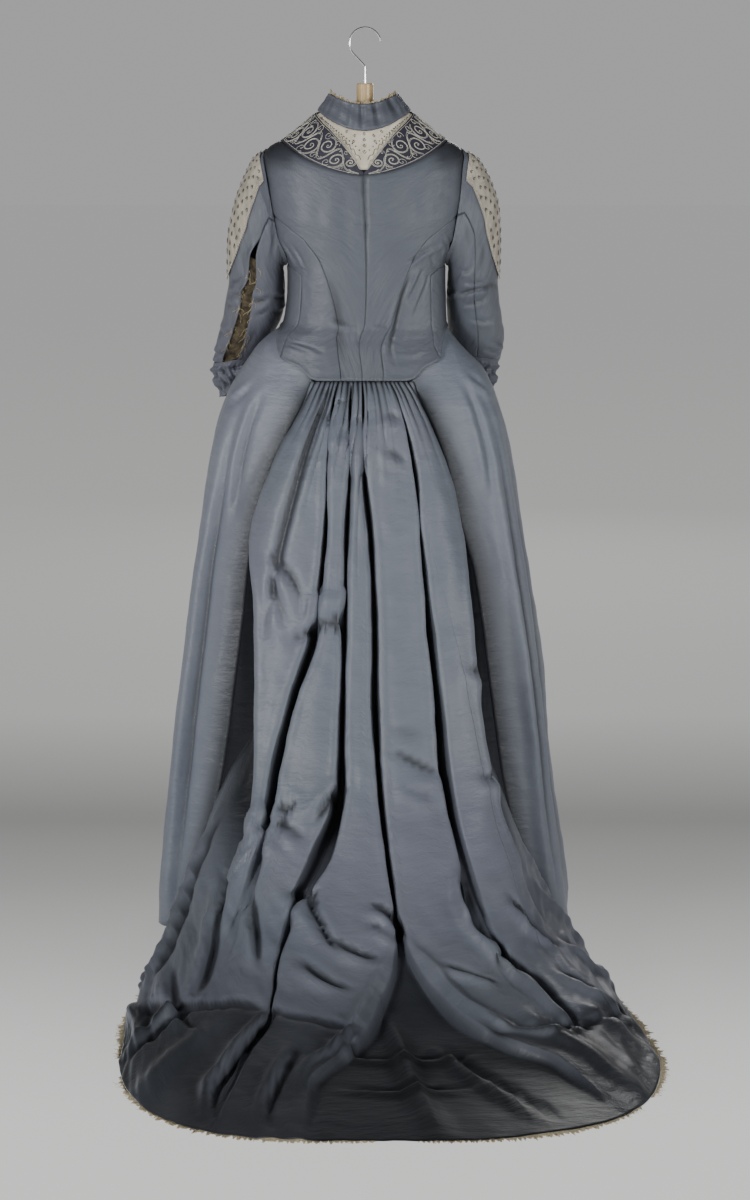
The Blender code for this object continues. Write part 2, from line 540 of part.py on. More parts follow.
def across_curve(station, places):
    """One curve across the train from the left gore to the right one, read at even shares of its length."""
    edge_z = station_value("edge_z", station)
    edge_level = level_at(edge_z)
    ends = [skirt(angle_at(station_value(name, station), edge_level), edge_level, TRAIN_WALL / 2 + CLEAR)
            for name in ("left", "right")]
    (left, left_y, _), (right, right_y, _) = ends
    turn = np.linspace(0.0, math.pi, CURVE_POINTS)
    sharp = 2.0 / station_value("square", station)
    spread = np.sin(turn)
    left_half = turn < math.pi / 2
    widen = np.where(left_half, station_value("widen_left", station), station_value("widen_right", station))
    middle_x, half = (left + right) / 2, (right - left) / 2
    x = middle_x - (half + widen * spread) * power(np.cos(turn), sharp)
    edge_y = left_y + (right_y - left_y) * turn / math.pi
    y = edge_y + (station_value("middle_y", station) - edge_y) * spread ** sharp
    z = edge_z + (station_value("middle_z", station) - edge_z) * spread ** TRAIN_SAG
    curve = np.stack([x, y, z], axis=-1)
    lengths = np.concatenate([[0.0], np.cumsum(np.linalg.norm(np.diff(curve, axis=0), axis=1))])
    wanted = places * lengths[-1]
    return np.stack([np.interp(wanted, lengths, curve[:, axis]) for axis in range(3)], axis=-1)


def valley_value(kind, station):
    """A valley's place or depth between the top, half way and the hem, for every valley."""
    keys = np.array([0.0, FOLD_MIDDLE_STATION, TRAIN["station"][-1]])
    rows = zip(VALLEYS[kind + "_top"], VALLEYS[kind + "_middle"], VALLEYS[kind + "_hem"])
    return np.array([float(smooth(keys, np.array(row), station)) for row in rows])


def train_grid(cells, stations):
    """Base points, outward normals and how far the cloth stands out, for each station and cell."""
    base = np.zeros((len(stations), len(cells), 3))
    stand = np.zeros((len(stations), len(cells)))
    for index, station in enumerate(stations):
        places = smooth(VALLEYS["cell"], valley_value("place", station), cells)
        base[index] = across_curve(station, places)
        hollow = np.zeros(len(cells))
        for cell, depth, width in zip(VALLEYS["cell"], valley_value("depth", station), VALLEYS["width"]):
            hollow = np.maximum(hollow, depth * np.exp(-((cells - cell) / width) ** 2))
        gather = GATHER_DEPTH * np.cos(2 * math.pi * cells / CELLS_PER_GATHER)
        gather_share = 1 - ramp(station, 0.0, GATHERS_FADE_STATION)
        from_edge = np.minimum(cells, cells[-1] - cells)
        edge_share = EDGE_SHARE + (1 - EDGE_SHARE) * ramp(from_edge, 0.0, EDGE_CELLS)
        height = station_value("stand", station) * edge_share
        stand[index] = height * (1 - hollow) - gather * gather_share * (from_edge > 0)
    down = np.gradient(base, axis=0)
    across = np.gradient(base, axis=1)
    normal = unit(np.cross(down, across))
    return base, normal, stand


def make_train():
    cells = np.arange(GATHERS * CELLS_PER_GATHER + 1, dtype=float)
    base, normal, stand = train_grid(cells, TRAIN_STATIONS)
    middle = base + normal * stand[..., None]
    lean = unit(np.cross(np.gradient(middle, axis=0), np.gradient(middle, axis=1)))
    outer, inner = middle + lean * TRAIN_WALL / 2, middle - lean * TRAIN_WALL / 2
    lowest = FLOOR + TRAIN_WALL
    outer[..., 2] = np.maximum(outer[..., 2], lowest)
    inner[..., 2] = np.maximum(inner[..., 2], FLOOR)
    for word, first, last in (("left", 0, LEFT_SEAM_CELL), ("centre", LEFT_SEAM_CELL, RIGHT_SEAM_CELL),
                              ("right", RIGHT_SEAM_CELL, len(cells) - 1)):
        part = slice(first, last + 1)
        add_wall("train_" + word, drawn_in(outer[:, part]), drawn_in(inner[:, part]), "silk")
    make_lace(outer[-1])


def read_line(line, at):
    """Points of a line at fractional places along its own points."""
    return np.stack([np.interp(at, np.arange(len(line)), line[:, axis]) for axis in range(3)], axis=-1)


def make_lace(hem):
    """Frayed lace sewn under the hem, that falls to the floor just beyond it, in uneven stretches."""
    run = np.gradient(hem, axis=0)
    beyond = unit(np.stack([run[:, 1], -run[:, 0], 0 * run[:, 0]], axis=-1))
    for word, (first, last, shows) in LACE_STRETCHES.items():
        cell = np.arange(first, last + 0.1, 0.5)
        along, side = read_line(hem, cell), unit(read_line(beyond, cell))
        wave = 0.75 + 0.25 * np.sin(9.0 * cell) * np.sin(2.3 * cell)
        rag = shows * (0.35 + 0.65 * np.sin(math.pi * (cell - first) / (last - first))) * wave
        reach = np.stack([0 * rag + CLEAR, rag], axis=0)
        points = along[None] + side[None] * reach[..., None]
        points[1, :, 2] = FLOOR + EDGING_WALL
        below = points.copy()
        below[..., 2] = np.maximum(points[..., 2] - EDGING_WALL, FLOOR)
        add_wall("hem_lace_" + word, points, below, "lace")


# The sleeves
def armhole_point(side, turn, grow=1.0):
    """A point on the armhole: 0 degrees at the shoulder, 90 at its back, 180 under the arm."""
    angle = np.radians(turn)
    row = (SHOULDER_ROW + UNDERARM_ROW) / 2 - grow * (UNDERARM_ROW - SHOULDER_ROW) / 2 * np.cos(angle)
    widest = np.where(np.sin(angle) > 0, ARMHOLE_BACK, ARMHOLE_FRONT)
    reach = -power(np.sin(angle), ARMHOLE_ROUNDING) * widest * grow
    place = 90 + reach
    return body(side * place, bodice_level(place, row), BODICE_OUT + 2 * CLEAR)


def sleeve_point(data, side, ring, turn, inward=0.0):
    """A point on the sleeve: ring 0 is the armhole, and inward is towards the sleeve's middle line."""
    round_turn = np.radians(turn)
    ring = np.asarray(ring, dtype=float)
    value = {name: smooth(data["ring"], data[name], np.maximum(ring, 1.0)) for name in data}
    outer = np.stack(np.broadcast_arrays(value["outer_x"], 0 * ring, value["outer_z"]), axis=-1)
    inner = np.stack(np.broadcast_arrays(value["inner_x"], 0 * ring, value["inner_z"]), axis=-1)
    centre = (outer + inner) / 2
    centre[..., 1] = value["swing"]
    reach = (outer - inner) / 2 * np.cos(round_turn)[..., None]
    reach[..., 1] -= value["depth"] * np.sin(round_turn)
    point = centre + reach
    hole = armhole_point(side, turn + 0 * ring)
    share = np.clip(ring, 0.0, 1.0)[..., None]
    hole_centre = armhole_point(side, np.array([0.0, 90.0, 180.0, 270.0])).mean(axis=0)
    point = hole + (point - hole) * share
    middle = hole_centre + (centre - hole_centre) * share
    return point + unit(middle - point) * np.asarray(inward)[..., None]


def sleeve_panel(name, data, side, rings, columns, first_edge, last_edge, faces, material_name):
    """A piece of the sleeve between two edges, each an angle worked out from the ring."""
    ring = np.array(rings)[:, None]
    share = np.linspace(0.0, 1.0, columns + 1)[None, :]
    turn = first_edge(ring) + (last_edge(ring) - first_edge(ring)) * share
    ring = ring + 0 * share
    outer, inner = (drawn_in(sleeve_point(data, side, ring, turn, face + 0 * ring)) for face in faces)
    return add_wall(name, outer, inner, material_name)


def make_cuff(name, data, side):
    ring = np.array(CUFF_RINGS)[:, None]
    turn = np.linspace(0.0, 360.0, CUFF_COLUMNS, endpoint=False)[None, :]
    ring, turn = np.broadcast_arrays(ring, turn)
    ripple = CUFF_RIPPLE * np.cos(math.pi * np.arange(CUFF_COLUMNS))[None, :]
    crush = CUFF_CRUSH * np.sin(ring * 5.5 + np.radians(turn) * 2)
    fall = (ripple + crush) * ramp(ring, CUFF_RINGS[0], CUFF_RINGS[1])
    faces = [drawn_in(sleeve_point(data, side, ring, turn, face + fall), ring=True)
             for face in (0.0, SLEEVE_WALL)]
    return add_wall(name, faces[0], faces[1], "silk", ring=True)


def make_sleeves():
    def lip(column):
        return lambda ring: smooth(OPEN_SEAM["ring"], OPEN_SEAM[column], ring)

    def fixed(angle):
        return lambda ring: angle + 0 * ring

    walls = (0.0, SLEEVE_WALL)
    over = (-LAYER_CLEAR - INSET_WALL, -LAYER_CLEAR)
    edges = {"left": (lip("outer_lip"), lip("inner_lip")),
             "right": (fixed(RIGHT_BACK_SEAM), fixed(RIGHT_BACK_SEAM))}
    for word, side, data in (("left", -1, LEFT_SLEEVE), ("right", 1, RIGHT_SLEEVE)):
        outer_lip, inner_lip = edges[word]
        sleeve_panel("upper_sleeve_" + word, data, side, SLEEVE_RINGS, 11, fixed(SLEEVE_FRONT_SEAM),
                     outer_lip, walls, "silk")
        sleeve_panel("under_sleeve_" + word, data, side, SLEEVE_RINGS, 8, inner_lip,
                     fixed(SLEEVE_FRONT_SEAM + 360), walls, "silk")
        sleeve_panel("sleeve_inset_" + word, data, side, INSET_EDGE["ring"], 8,
                     lambda ring: smooth(INSET_EDGE["ring"], INSET_EDGE["front"], ring),
                     lambda ring: smooth(INSET_EDGE["ring"], INSET_EDGE["back"], ring), over, "cream")
        make_cuff("cuff_" + word, data, side)
    behind = SLEEVE_WALL + LAYER_CLEAR
    sleeve_panel("sleeve_lining_left", LEFT_SLEEVE, -1, LINING_RINGS, 5,
                 lambda ring: smooth(OPEN_SEAM["ring"], OPEN_SEAM["outer_lip"], ring) - LINING_REACH,
                 lambda ring: smooth(OPEN_SEAM["ring"], OPEN_SEAM["inner_lip"], ring) + LINING_REACH,
                 (behind, behind + INSET_WALL), "lining")


# The hanger
def add_tube(name, points, radius, material_name, bevel_resolution=2):
    """A round bar along a line of points, with flat filled ends."""
    curve = bpy.data.curves.new(name, "CURVE")
    curve.dimensions = "3D"
    curve.bevel_depth = radius
    curve.bevel_resolution = bevel_resolution
    curve.use_fill_caps = True
    spline = curve.splines.new("POLY")
    spline.points.add(len(points) - 1)
    for target, point in zip(spline.points, points):
        target.co = (*point, 1.0)
    return add_object(name, curve, material_name)


def make_hanger():
    centre_z = WIRE_RADIUS - HOOK_RADIUS
    turns = np.radians(np.linspace(HOOK_TIP_ANGLE, HOOK_TURN_ANGLE, 17))
    bend = [(HOOK_RADIUS * math.cos(turn), 0.0, centre_z + HOOK_RADIUS * math.sin(turn)) for turn in turns]
    shank_top = (0.0, 0.0, centre_z - HOOK_RADIUS - SHANK_TOP)
    start, lead = bend[-1], 0.45
    run_in = [tuple(start[axis] + (shank_top[axis] - start[axis]) * share for axis in range(3))
              for share in (lead, 1 - lead / 3)]
    shank = [shank_top, (0.0, 0.0, NECK_TOP + HANGER_JOIN)]
    add_tube("hanger_hook", bend + run_in + shank, WIRE_RADIUS, "chrome")

    profile = [(0.0, NECK_TOP), (NECK_RADIUS - NECK_ROUNDING, NECK_TOP), (NECK_RADIUS, NECK_TOP - NECK_ROUNDING),
               (NECK_RADIUS, NECK_BOTTOM + NECK_ROUNDING), (NECK_RADIUS - NECK_ROUNDING, NECK_BOTTOM),
               (0.0, NECK_BOTTOM)]
    mesh = bpy.data.meshes.new("hanger_neck")
    mesh.from_pydata([(x, 0.0, z) for x, z in profile], [(i, i + 1) for i in range(len(profile) - 1)], [])
    neck = add_object("hanger_neck", mesh, "wood")
    turned = neck.modifiers.new("turned", "SCREW")
    turned.angle = math.tau
    turned.steps = turned.render_steps = 24
    turned.use_merge_vertices = True
    turned.merge_threshold = 0.00001

    top_z = NECK_BOTTOM - HANGER_JOIN - ARM_RADIUS
    shoulder = body(90.0, np.array(SHOULDER_LEVELS), BODICE_IN - ARM_SEAT - ARM_RADIUS)
    half = [(reach, 0.0, top_z + drop) for reach, drop in ARM_LINE] + [tuple(point) for point in shoulder]
    left = [(-x + 2 * float(body_column("middle", 1.0)), 0.0, z) for x, y, z in half[::-1]]
    right = [(x, 0.0, z) for x, y, z in half]
    add_tube("hanger_arms", left + [(0.0, 0.0, top_z)] + right, ARM_RADIUS, "wood", bevel_resolution=3)


clear_scene()
gown = bpy.data.collections.new("trained_gown")
bpy.context.scene.collection.children.link(gown)
make_bodice()
make_collar()
make_skirt()
make_train()
make_sleeves()
make_hanger()
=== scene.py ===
import math
import bpy
import numpy as np
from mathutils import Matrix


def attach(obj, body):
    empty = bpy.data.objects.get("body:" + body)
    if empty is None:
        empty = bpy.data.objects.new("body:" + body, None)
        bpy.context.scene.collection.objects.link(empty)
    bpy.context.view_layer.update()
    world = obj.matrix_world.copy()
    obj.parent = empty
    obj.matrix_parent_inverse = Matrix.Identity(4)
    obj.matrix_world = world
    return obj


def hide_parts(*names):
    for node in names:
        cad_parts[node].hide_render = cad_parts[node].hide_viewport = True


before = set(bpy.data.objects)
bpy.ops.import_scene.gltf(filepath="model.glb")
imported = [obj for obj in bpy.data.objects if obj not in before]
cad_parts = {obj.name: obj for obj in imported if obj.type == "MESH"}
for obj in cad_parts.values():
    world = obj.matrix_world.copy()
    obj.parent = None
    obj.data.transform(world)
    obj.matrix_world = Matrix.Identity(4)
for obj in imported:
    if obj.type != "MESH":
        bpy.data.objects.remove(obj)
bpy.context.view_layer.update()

# A trained silk gown of about 1890, seen from behind on a wooden hanger. Metres, +Z up, origin at the
# inner top of the hook. The train lies towards -Y and the floor is at gown["floor"].

gown = {
    "floor": -1.600,
    "bodiceOut": 0.0019,       # the bodice's outer face, above the figure that it is cut to
    "yokeOut": 0.0024,
    "underBasque": -0.0034,    # how far in the skirt lies under the back of the bodice
    "trainWall": 0.0013,
    "clear": 0.0004,
    "clothThick": 0.0007,      # what each shell of silk shows at its edges
}


# Columns by name, from rows of numbers on lines of their own or parted by semicolons
def table(columns, rows):
    numbers = [row.split() for row in rows.replace(";", "\n").strip().splitlines()]
    return dict(zip(columns.split(), np.array(numbers, dtype=float).T))


# Creases, one to a line: kind, width and height in metres, then the pairs of marks that it passes through
def creaseTable(rows):
    lines = []
    for row in rows.strip().splitlines():
        kind, width, height, *marks = row.split()
        pairs = [[float(part) for part in mark.split(",")] for mark in marks]
        lines.append((kind, float(width), float(height), pairs))
    return lines


# The figure as rings round it, as in the solids: half width, middle, depths, heights and squareness
figure = table("level half middle back front zBack zSide zFront square", """
     0  .079 -.0015 .058 .056  -.1745   -.142     -.2    2
     1  .128  -.001 .073 .075   -.215   -.181   -.245  2.1
     2 .1752 -.0025 .083  .09   -.262   -.219    -.29  2.3
     3 .1715      0 .088 .098   -.312   -.285   -.335  2.4
     4   .16   .001  .09 .105   -.365    -.35    -.38  2.4
     5  .137   .002 .089 .106   -.405   -.405   -.405  2.4
     6 .1375   .002 .085   .1    -.45    -.45    -.45  2.4
     7 .1425 -.0005  .08 .088   -.505   -.505   -.505  2.4
     8  .161  -.008 .083 .091   -.527   -.527   -.527 2.35
     9   .18   -.01 .088 .095  -.5466  -.5466  -.5466  2.3
    10 .2175  -.005 .097  .11   -.593   -.593   -.593  2.3
    11 .2456 -.0076 .107 .125  -.6515  -.6515  -.6515  2.3
    12  .264  -.008 .114  .14  -.7177  -.7177  -.7177  2.3
    13  .288  -.008 .122  .17  -.8619  -.8619  -.8619  2.3
    14  .322 -.0064 .125  .21 -1.0924 -1.0924 -1.0924  2.3
    15  .347  -.007  .12  .24 -1.3062 -1.3062 -1.3062  2.3
    16  .375  -.003  .11  .26 -1.5501 -1.5501 -1.5501  2.3
    17  .376  -.004 .105 .265  -1.597  -1.597  -1.597  2.3
""")
shoulderSaddle = 2.0


# Curves and small sums

# A cubic through the values, with slopes that never swing past two neighbours, read at any place
def softCurve(keys, values, at):
    at = np.clip(np.asarray(at, dtype=float), keys[0], keys[-1])
    steps = np.diff(keys)
    rises = np.diff(values) / steps
    before, after = rises[:-1], rises[1:]
    level = before * after <= 0
    mean = 2 * before * after / np.where(level, 1.0, before + after)
    slopes = np.concatenate([rises[:1], np.where(level, 0.0, mean), rises[-1:]])
    cell = np.clip(np.searchsorted(keys, at, side="right") - 1, 0, len(keys) - 2)
    part = (at - keys[cell]) / steps[cell]
    start, end = values[cell], values[cell + 1]
    lift = part * part * (3 - 2 * part)
    lean = part * (1 - part) * steps[cell]
    return start + (end - start) * lift + lean * (slopes[cell] * (1 - part) - slopes[cell + 1] * part)


def readTable(data, key, column, at):
    return softCurve(data[key], data[column], at)


# A power that keeps its sign
def signedPower(value, exponent):
    return np.sign(value) * np.abs(value) ** exponent


def unitVectors(vectors):
    return vectors / np.maximum(np.linalg.norm(vectors, axis=-1, keepdims=True), 1e-12)


# From 0 at the start to 1 at the end, with soft ends
def softStep(value, start, end):
    part = np.clip((value - start) / (end - start), 0.0, 1.0)
    return part * part * (3 - 2 * part)


# A bell of that half width round a place
def bell(value, place, width):
    return np.exp(-((value - place) / width) ** 2)


# A sum of slow sines with seeded directions and starts: soft unevenness from -1 to 1
def softWaves(across, down, seed, size, count=7):
    draw = np.random.default_rng(seed)
    total = 0.0 * across
    for index in range(count):
        turn = draw.uniform(0, math.pi)
        length = size * draw.uniform(0.6, 1.7)
        phase = 2 * math.pi * (across * math.cos(turn) + down * math.sin(turn)) / length
        total = total + np.sin(phase + draw.uniform(0, 6.28) + 0.8 * np.sin(phase * 0.37 + index))
    return total / count * 1.6


# The figure's surface

def figureColumn(column, level):
    return readTable(figure, "level", column, level)


# The ring of that level at that angle, 0 at the centre back and 90 at the right side: a squared ellipse
# whose height climbs from the back and front to the side
def figurePlain(angle, level):
    turn = np.radians(angle)
    sharp = 2.0 / figureColumn("square", level)
    side, away = signedPower(np.sin(turn), sharp), signedPower(np.cos(turn), sharp)
    depth = np.where(away > 0, figureColumn("back", level), figureColumn("front", level))
    x = figureColumn("middle", level) + figureColumn("half", level) * side
    endZ = np.where(away > 0, figureColumn("zBack", level), figureColumn("zFront", level))
    z = endZ + (figureColumn("zSide", level) - endZ) * np.abs(side) ** shoulderSaddle
    return np.stack(np.broadcast_arrays(x, -depth * away, z), axis=-1)


# The same point moved out along the surface's normal, the cross product of its runs down and across
def figurePoint(angle, level, out=0.0):
    turn, climb = 0.2, 0.02
    across = figurePlain(angle + turn, level) - figurePlain(angle - turn, level)
    down = figurePlain(angle, level + climb) - figurePlain(angle, level - climb)
    return figurePlain(angle, level) + unitVectors(np.cross(down, across)) * np.asarray(out)[..., None]


# A surface's points, with its normals from the same points a millimetre further out
def faceOf(place, first, second, out=0.0):
    base = place(first, second, out)
    return base, unitVectors(place(first, second, out + 0.001) - base)


# Meshes

# Lengths along a grid's rows or columns, from its first point
def runLengths(points, axis):
    steps = np.linalg.norm(np.diff(points, axis=axis), axis=-1)
    start = np.zeros_like(steps.take([0], axis=axis))
    return np.concatenate([start, np.cumsum(steps, axis=axis)], axis=axis)


# A mesh of squares over a grid of points, with its UV in metres of cloth and its values kept as attributes
def gridMesh(name, points, outward, ring=False, values=None):
    rows, columns = points.shape[:2]
    closed = np.concatenate([points, points[:, :1]], axis=1) if ring else points
    facing = np.cross(np.diff(closed, axis=0)[:, :-1], np.diff(closed, axis=1)[:-1])
    flip = (facing * outward[:rows - 1, :facing.shape[1]]).sum() < 0
    row, column = np.meshgrid(np.arange(rows - 1), np.arange(closed.shape[1] - 1), indexing="ij")
    corner = [(row, column), (row + 1, column), (row + 1, column + 1), (row, column + 1)]
    if flip:
        corner = corner[::-1]
    index = np.stack([r * columns + c % columns for r, c in corner], axis=-1).reshape(-1, 4)
    across, down = runLengths(closed, 1), runLengths(closed, 0)
    across = across - across[:, [closed.shape[1] // 2]]
    uv = np.stack([np.stack([across[r, c], -down[r, c]], axis=-1) for r, c in corner], axis=2)
    mesh = bpy.data.meshes.new(name)
    mesh.vertices.add(rows * columns)
    mesh.vertices.foreach_set("co", points.reshape(-1))
    mesh.loops.add(index.size)
    mesh.loops.foreach_set("vertex_index", index.reshape(-1).astype(np.int32))
    mesh.polygons.add(len(index))
    mesh.polygons.foreach_set("loop_start", np.arange(0, index.size, 4, dtype=np.int32))
    mesh.update(calc_edges=True)
    mesh.uv_layers.new(name="UVMap").data.foreach_set("uv", uv.reshape(-1))
    for word, value in (values or {}).items():
        kept = mesh.attributes.new(word, "FLOAT", "POINT")
        kept.data.foreach_set("value", np.clip(value, 0, 1).astype(np.float32).reshape(-1))
    mesh.shade_smooth()
    mesh.validate()
    return mesh


def addPiece(name, mesh, material, nodes=()):
    piece = bpy.data.objects.new(name, mesh)
    bpy.context.scene.collection.objects.link(piece)
    mesh.materials.append(material)
    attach(piece, "root")
    if nodes:
        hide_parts(*nodes)
    return piece


# A sheet of cloth over a grid: its thickness goes inwards from the face that shows
def clothPiece(name, points, outward, material, nodes=(), ring=False, values=None,
               thick=None):
    values = {"shade": np.ones(points.shape[:2]), **(values or {})}
    piece = addPiece(name, gridMesh(name, points, outward, ring, values), material, nodes)
    wall = piece.modifiers.new("cloth", "SOLIDIFY")
    wall.thickness = thick or gown["clothThick"]
    wall.offset = -1.0
    wall.use_quality_normals = True
    return piece


# How far a crease reaches in widths, its steps between marks, how blunt its ends are, and a fold's trough
creaseForm = {"reach": 3.6, "steps": 14, "blunt": 0.55, "foldDeep": 1.1, "foldAt": 1.5, "foldWide": 0.7}


# Height that creases add: across each line a trough, ridge or fold (a ridge beside a trough), as bells of
# the distance to it, fading out at both ends. place turns the line's marks into points.
def creaseLift(points, normals, lines, place):
    lift = np.zeros(points.shape[:-1])
    for kind, width, height, marks in lines:
        knots = np.array(marks, dtype=float)
        keys = np.arange(len(knots), dtype=float)
        steps = np.linspace(0, keys[-1], creaseForm["steps"] * (len(knots) - 1) + 1)
        path = place(softCurve(keys, knots[:, 0], steps), softCurve(keys, knots[:, 1], steps))
        reach = creaseForm["reach"] * width
        near = np.all((points > path.min(0) - reach) & (points < path.max(0) + reach), axis=-1)
        if not near.any():
            continue
        run = unitVectors(np.gradient(path, axis=0))
        lengths = runLengths(path, 0)
        at, normal = points[near], normals[near]
        gap = at[:, None] - path[None]
        nearest = (gap ** 2).sum(-1).argmin(1)
        gap = gap[np.arange(len(at)), nearest]
        ahead = (gap * run[nearest]).sum(-1)
        inside = (nearest > 0) & (nearest < len(path) - 1)
        beside = (gap * np.cross(normal, run[nearest])).sum(-1) / width
        beyond = np.where(inside, 0.0, ahead) / width
        share = np.clip((lengths[nearest] + ahead) / lengths[-1], 0.0, 1.0)
        fade = np.sin(math.pi * np.clip(share, 0.02, 0.98)) ** creaseForm["blunt"] * bell(beyond, 0.0, 1.0)
        across = bell(beside, 0.0, 1.0)
        if kind == "trough":
            across = -across
        if kind == "fold":
            dip = bell(beside, creaseForm["foldAt"], creaseForm["foldWide"])
            across = across - creaseForm["foldDeep"] * dip
        lift[near] += height * across * fade
    return lift


# Closed tubes from points by tube, ring and edge, with a cap at each end
def tubeMesh(name, grid, reverse=False):
    count, rings, edges = grid.shape[:3]
    tube, ring, edge = np.meshgrid(np.arange(count), np.arange(rings - 1), np.arange(edges), indexing="ij")
    first, after = (tube * rings + ring) * edges, (edge + 1) % edges
    corners = [first + edge, first + after, first + edges + after, first + edges + edge]
    start = np.arange(count)[:, None] * rings * edges + np.arange(edges)
    faces = np.stack(corners, axis=-1).reshape(-1, 4).tolist()
    faces += start[:, ::-1].tolist() + (start + (rings - 1) * edges).tolist()
    if reverse:
        faces = [face[::-1] for face in faces]
    mesh = bpy.data.meshes.new(name)
    mesh.from_pydata(grid.reshape(-1, 3).tolist(), [], faces)
    mesh.shade_smooth()
    return mesh


ribSection = np.array([(-1.0, -0.25), (-0.72, 0.7), (0.0, 1.0), (0.72, 0.7), (1.0, -0.25)])
petalRings = ((1.0, -0.3), (0.8, 0.6), (0.42, 0.9), (0.22, 0.7))     # shares of the radius and the height


# Raised lines: narrow rounded ribs along many paths at once, each slimmer towards its ends by the taper
def ribMesh(name, paths, normals, halfWidth, height, taper=0.0):
    run = unitVectors(np.gradient(paths, axis=1))
    side = unitVectors(np.cross(normals, run))
    share = np.linspace(-1, 1, paths.shape[1])[None, :, None, None]
    slim = 1 - taper * np.abs(share) ** 4
    grid = (paths[:, :, None] + side[:, :, None] * ribSection[:, 0, None] * halfWidth * slim
            + normals[:, :, None] * ribSection[:, 1, None] * height * slim)
    return tubeMesh(name, grid, reverse=True)


# Small flowers: rings round raised centres, the outer two waved into petals
def blossomMesh(name, centres, normals, runs, radius, petals=5, height=0.0009):
    turns = np.linspace(0, 2 * math.pi, petals * 4, endpoint=False)
    rim = 0.72 + 0.28 * np.cos(petals * turns)
    side = unitVectors(np.cross(normals, runs))
    rings = []
    for share, lift in petalRings:
        reach = (rim if share > 0.5 else 0 * rim + 0.8) * share
        spoke = np.cos(turns)[None, :, None] * runs[:, None] + np.sin(turns)[None, :, None] * side[:, None]
        raised = normals[:, None] * height * lift
        rings.append(centres[:, None] + radius[:, None, None] * reach[None, :, None] * spoke + raised)
    return tubeMesh(name, np.stack(rings, axis=1))


# Materials

class Shader:
    def __init__(self, name):
        self.material = bpy.data.materials.new(name)
        self.material.use_nodes = True
        self.tree = self.material.node_tree
        self.surface = self.tree.nodes["Principled BSDF"]

    def add(self, kind, links=(), **values):
        node = self.tree.nodes.new("ShaderNode" + kind)
        for word, value in values.items():
            if hasattr(node, word):
                setattr(node, word, value)
            else:
                node.inputs[word.replace("_", " ")].default_value = value
        for source, socket in links:
            self.tree.links.new(source, node.inputs[socket])
        return node

    def link(self, source, socket):
        self.tree.links.new(source, self.surface.inputs[socket])

    # Plain values for the surface's inputs
    def settle(self, **values):
        for word, value in values.items():
            self.surface.inputs[word.replace("_", " ")].default_value = value

    # A socket is linked, a number or a tone is set
    def feed(self, node, slot, value):
        if isinstance(value, bpy.types.NodeSocket):
            self.tree.links.new(value, node.inputs[slot])
        else:
            node.inputs[slot].default_value = value if np.isscalar(value) else (*value, 1.0)

    def uv(self, scale):
        coord = self.add("TexCoord")
        return self.add("Mapping", [(coord.outputs["UV"], "Vector")], Scale=scale).outputs["Vector"]

    def position(self, scale=(1, 1, 1)):
        coord = self.add("TexCoord")
        return self.add("Mapping", [(coord.outputs["Object"], "Vector")], Scale=scale).outputs["Vector"]

    def noise(self, vector, scale, detail=3.0, rough=0.5):
        node = self.add("TexNoise", [(vector, "Vector")], Scale=scale, Detail=detail, Roughness=rough)
        return node.outputs["Fac"]

    # Fine stripes along or across the cloth
    def stripes(self, vector, direction, scale, **values):
        node = self.add("TexWave", [(vector, "Vector")], bands_direction=direction, Scale=scale, **values)
        return node.outputs["Fac"]

    def ramp(self, factor, stops):
        node = self.add("ValToRGB", [(factor, "Fac")])
        marks = node.color_ramp.elements
        while len(marks) < len(stops):
            marks.new(0.5)
        for mark, (place, colour) in zip(marks, stops):
            mark.position = place
            mark.color = (*colour, 1.0)
        return node.outputs["Color"]

    def mix(self, factor, first, second):
        node = self.tree.nodes.new("ShaderNodeMix")
        node.data_type = "RGBA"
        for value, slot in ((factor, 0), (first, 6), (second, 7)):
            self.feed(node, slot, value)
        return node.outputs[2]

    def math(self, operation, first, second):
        node = self.tree.nodes.new("ShaderNodeMath")
        node.operation = operation
        self.feed(node, 0, first)
        self.feed(node, 1, second)
        return node.outputs[0]

    def value(self, word):
        return self.add("Attribute", attribute_name=word).outputs["Fac"]

    def bump(self, heights):
        last = None
        for height, distance, strength in heights:
            node = self.add("Bump", [(height, "Height")], Distance=distance, Strength=strength)
            if last:
                self.tree.links.new(last, node.inputs["Normal"])
            last = node.outputs["Normal"]
        self.link(last, "Normal")


silkLook = {
    "tones": [(0.30, (0.148, 0.166, 0.208)), (0.52, (0.180, 0.200, 0.240)), (0.74, (0.212, 0.228, 0.256))],
    "violet": (0.184, 0.178, 0.236), "violetScale": 3.1, "violetShare": 0.45,
    "deep": (0.0060, 0.0072, 0.0088),     # in the bottoms of folds and where the cloth lies in its own shade
    "driftScale": 7.0, "slubScale": (26, 760, 1), "crumpleScale": (19, 44, 1), "ribScale": 460.0,
    "shares": (0.55, 0.25, 0.20),         # of the drift, slubs and crumple in the tone
    "crumpleBump": (0.0064, 0.42), "slubBump": (0.0008, 0.45), "ribBump": (0.00012, 0.30),
    "surface": {"Roughness": 0.40, "Sheen Weight": 0.06, "Sheen Roughness": 0.45, "Specular IOR Level": 0.42},
}
violetTones = {
    "tones": [(0.3, (0.030, 0.030, 0.042)), (0.5, (0.046, 0.046, 0.066)), (0.74, (0.066, 0.064, 0.088))],
    "violet": (0.050, 0.044, 0.070),
}


